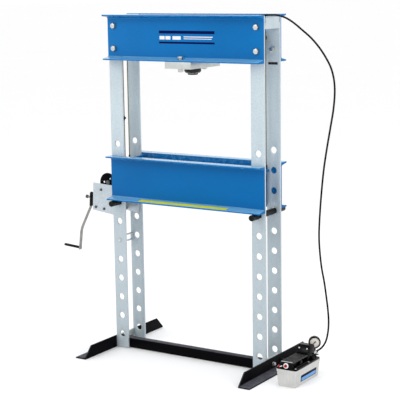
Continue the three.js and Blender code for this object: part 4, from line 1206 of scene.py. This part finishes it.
def add_pump_body():
    """Lid, raised housing with a sloped front, front wall and the treadle's pivot ears."""
    place = placed((PUMP.x, 0, 0), X, Y, Z)
    across = placed((PUMP.x, 0, 0), Y, Z, X)
    profile = [(-70, DECK), (2, DECK), (2, 146), (-2, 155), (-10, 161.8), (-46, 163.8), (-51.5, 160),
               (-62, 134), (-70, 128)]
    ridge = [(-67, DECK), (-1, DECK), (-1, 146), (-6, 158.5), (-47, 161), (-50.5, 157.5), (-60, 131),
             (-67, 126.5)]
    y = TREADLE.y
    ear = [(y - 16, DECK), (y + 16, DECK), (y + 8, 114.5), (y, 117.5), (y - 8, 114.5)]
    made("pump_head", PUMP_BLACK, "pump_black",
         prism([plain(rectangle(-54, 54, PUMP.y - 124, PUMP.y + 124, 8))], 85.3, LID_TOP, place, 1.5, 3),
         prism([profile], -31.5, 31.5, across, 3, 4),
         *[prism([ridge], x, x + 5, across, 1.2) for x in (-33.5, 28.5)],
         block((-34, -231, DECK), (34, -227, 118.8), 1.2, place),
         block((-34, -227.5, DECK), (34, -212, 106.8), 1.5, place),
         *[prism([ear], x, x + 3.2, across, 0.8) for x in (-39, 35.5)],
         *[block((x, -214, DECK), (x + 4.5, -78, 99.5), 1.5, place) for x in (-45, 40.5)],
         block((-34, PUMP.y - 60, 36), (34, PUMP.y + 90, 85.7), 2, place), node="pump_body")

    # Screws around the lid and on the housing's slope
    screw = [(0, 0.1), (4.2, 0.1), (4.2, 1.6), (2.4, 2.6), (0, 2.6)]
    slope = Vector((0, -26, 10.5)).normalized()
    spots = [placed(place(x, y, LID_TOP), X, Y, Z) for x in (-47, 47) for y in (-222, -90, 10)]
    spots += [placed(place(x, -56.5, 147.6), X, slope.cross(X), slope) for x in (-21, 21)]
    made("pump_screws", ZINC, "zinc_plate", *[turned(screw, spot, 24, 0.3) for spot in spots])

    # Bracket and plug at the rear right of the lid
    made("rear_bracket", PUMP_BLACK, "pump_black", block((36, -10, DECK), (40, 8, 112), 1, place),
         block((36, -6, 108), (54, 4, 112), 1, place))
    plug = placed((PUMP.x + 43, -34, 0), X, Y, Z)
    made("filler_plug", OXIDE, "pump_black", turned(rod(8, LID_TOP, 99.5), plug, 36),
         hexagon(6.2, 99.5, 106, plug))


def add_treadle():
    place = placed(TREADLE, X, Y, Z)
    lug = [(-12, -2), (-8, -11.5), (-4, -13), (4, -13), (8, -11.5), (12, -2)]
    studs = [(8.2 * i - 28.7, 8.7 * j - 64) for i in range(8) for j in range(16)]
    made("foot_treadle", [TREAD, ZINC], "treadle_rubber",
         prism([plain(rectangle(-34, 34, -76, 76, 4))], -3.5, 2, place, 1),
         *[block((x - 2.9, y - 3.1, 1.6), (x + 2.9, y + 3.1, 3.5), 0.6, place) for x, y in studs],
         # Zinc lip on the treadle's front edge, standing in for the highlight there: painted highlight.
         block((-30, -76, 1.2), (30, -70.5, 3.5), 1.2, place, material=1),
         *[prism([lug], x, x + 5, placed(TREADLE, Y, Z, X), 0.8) for x in (-34, 29)],
         node="pump_treadle", body="treadle")


def add_pump_fittings():
    def port_of(node):
        centre = sum(box(node), Vector()) / 2
        return placed((centre.x, 0, centre.z), X, Z, Y)
    inlet = port_of("air_inlet")
    made("air_port", [WHITE, RED], "red_anodised",
         turned([(7.2, -231.3), (13, -231.3), (13, -235.2), (11.8, -237.2), (9, -237.2), (7.2, -235.2),
                 (7.2, -231.3)], inlet, 40, 0.5),
         turned([(0, -231.3), (7.1, -231.3), (7.1, -238.5), (6, -240), (0, -240)], inlet, 36, 0.4, 1),
         turned([(0, -240), (4.5, -240), (4.5, -245), (2.8, -245), (2.8, -241), (0, -241)],
                inlet, 32, 0.3, 1),
         node="air_inlet")

    # Second small port beside it: a red cap joined by a pale stub
    side = Vector((PUMP.x - 36, -231.2, 100.5))
    stub = [side + Vector((4 + 12.5 * t, -4, 4.5 * t ** 2)) for t in (k / 6 for k in range(7))]
    made("vent_cap", [WHITE, RED], "red_anodised",
         turned([(0, 0), (5.8, 0), (5.8, 5.5), (4.6, 6.5), (0, 6.5)], placed(side, X, Z, -Y), 28, 0.5, 1),
         tube(stub, 2.2, 14))

    outlet = port_of("pump_outlet")
    crimp = ridges(31, 4, 3, ((8, 0), (7.5, 0.8), (7.5, 2)))
    made("hose_port", ZINC, "zinc_plate", hexagon(9.8, 2.3, 15, outlet, both=True),
         turned([(0, 15), (8.8, 15), (8.8, 21.5), (8, 23), (8, 29), (0, 29)], outlet, 36),
         turned([(0, 29), (7.9, 29), *crimp, (8, 42.5), (7, 45), (0, 45)], outlet, 36, 0.3),
         node="pump_outlet")


add_reservoir()
add_pump_body()
add_treadle()
add_pump_fittings()


# ------------------------------------------------------------------ gauge

def add_gauge():
    facing = placed(GAUGE, GAUGE_TURN @ X, Z, GAUGE_TURN @ Y)
    down = placed((GAUGE.x, GAUGE.y, 0), X, Y, Z)
    stem = 116
    made("gauge_case", PUMP_BLACK, "gauge_case",
         turned([(0, -8.8), (26.7, -8.8), (26.7, -7.5), (29.7, -7.2), (29.7, 10.5), (27.7, 13), (0, 13)],
                facing, 64, 1),
         turned(rod(5.5, stem, GAUGE.z - 27.5), down, 32),
         hexagon(5.2, stem + 3, stem + 10.5, down, both=True),
         node="pressure_gauge")
    made("gauge_bezel", PUMP_BLACK, "gauge_case", turned(
        [(24, -9), (24, -12.5), (25.6, -13), (29.6, -12.2), (30.5, -10.5), (30.5, -4.5), (29.8, -4),
         (29.8, -8), (24, -9)], facing, 72, 0.4))
    made("gauge_dial", DIAL, "gauge_case", turned(rod(24.6, -8.7, -9.2), facing, 64, 0.1))
    ticks = []
    for k in range(31):
        inner, half = (19.8, 0.2) if k % 5 else (17.8, 0.35)
        ticks.append(prism([rectangle(-half, half, inner, 22.2)], -9.35, -9.21, spun(facing, 135 - 9 * k), 0))
    made("gauge_ticks", INK, "gauge_case", *ticks)
    made("gauge_pivot", INK, "gauge_case", turned(rod(3, -9.3, -11.6), facing, 32, 0.3))
    outline = [(-2.6, -8.5), (2.6, -8.5), (2.2, 0), (0.9, 20.5), (-0.9, 20.5), (-2.2, 0)]
    made("gauge_pointer", INK, "needle_paint", prism([outline], -12.6, -11.8, spun(facing, 135), 0.1),
         node="gauge_needle", body="needle")


add_gauge()


# ------------------------------------------------------------------ studio

def add_studio():
    scene = bpy.context.scene
    world = bpy.data.worlds.new("studio")
    world.use_nodes = True
    background = world.node_tree.nodes["Background"]
    background.inputs["Color"].default_value = (1, 1, 1, 1)
    background.inputs["Strength"].default_value = 1.05
    scene.world = world
    scene.view_settings.view_transform = "Standard"

    bm = bmesh.new()
    bmesh.ops.create_circle(bm, cap_ends=True, segments=96, radius=90)
    mesh = bpy.data.meshes.new("floor")
    bm.to_mesh(mesh)
    bm.free()
    floor = bpy.data.objects.new("floor", mesh)
    floor.location.z = -0.0003
    s = Surface("studio_floor", Roughness=0.85)
    s.set(Base_Color=s.mix(s.noise(0.6), (0.93, 0.93, 0.93, 1), (0.95, 0.95, 0.95, 1)))
    mesh.materials.append(s.material)
    scene.collection.objects.link(floor)

    for name, place, target, size, energy in (("key", (-1.6, -4.2, 4.6), (0, 0, 0.9), 2.2, 55),
                                              ("fill", (4.2, -1.2, 2.6), (0, 0, 0.9), 2.2, 18),
                                              ("top", (0.6, 0.8, 4.6), (0, 0, 1.0), 1.6, 30)):
        light = bpy.data.lights.new(name, "AREA")
        light.shape = "DISK"
        light.size = size
        light.energy = energy
        lamp = bpy.data.objects.new(name, light)
        lamp.location = place
        lamp.rotation_euler = (Vector(target) - Vector(place)).to_track_quat("-Z", "Y").to_euler()
        scene.collection.objects.link(lamp)


add_studio()
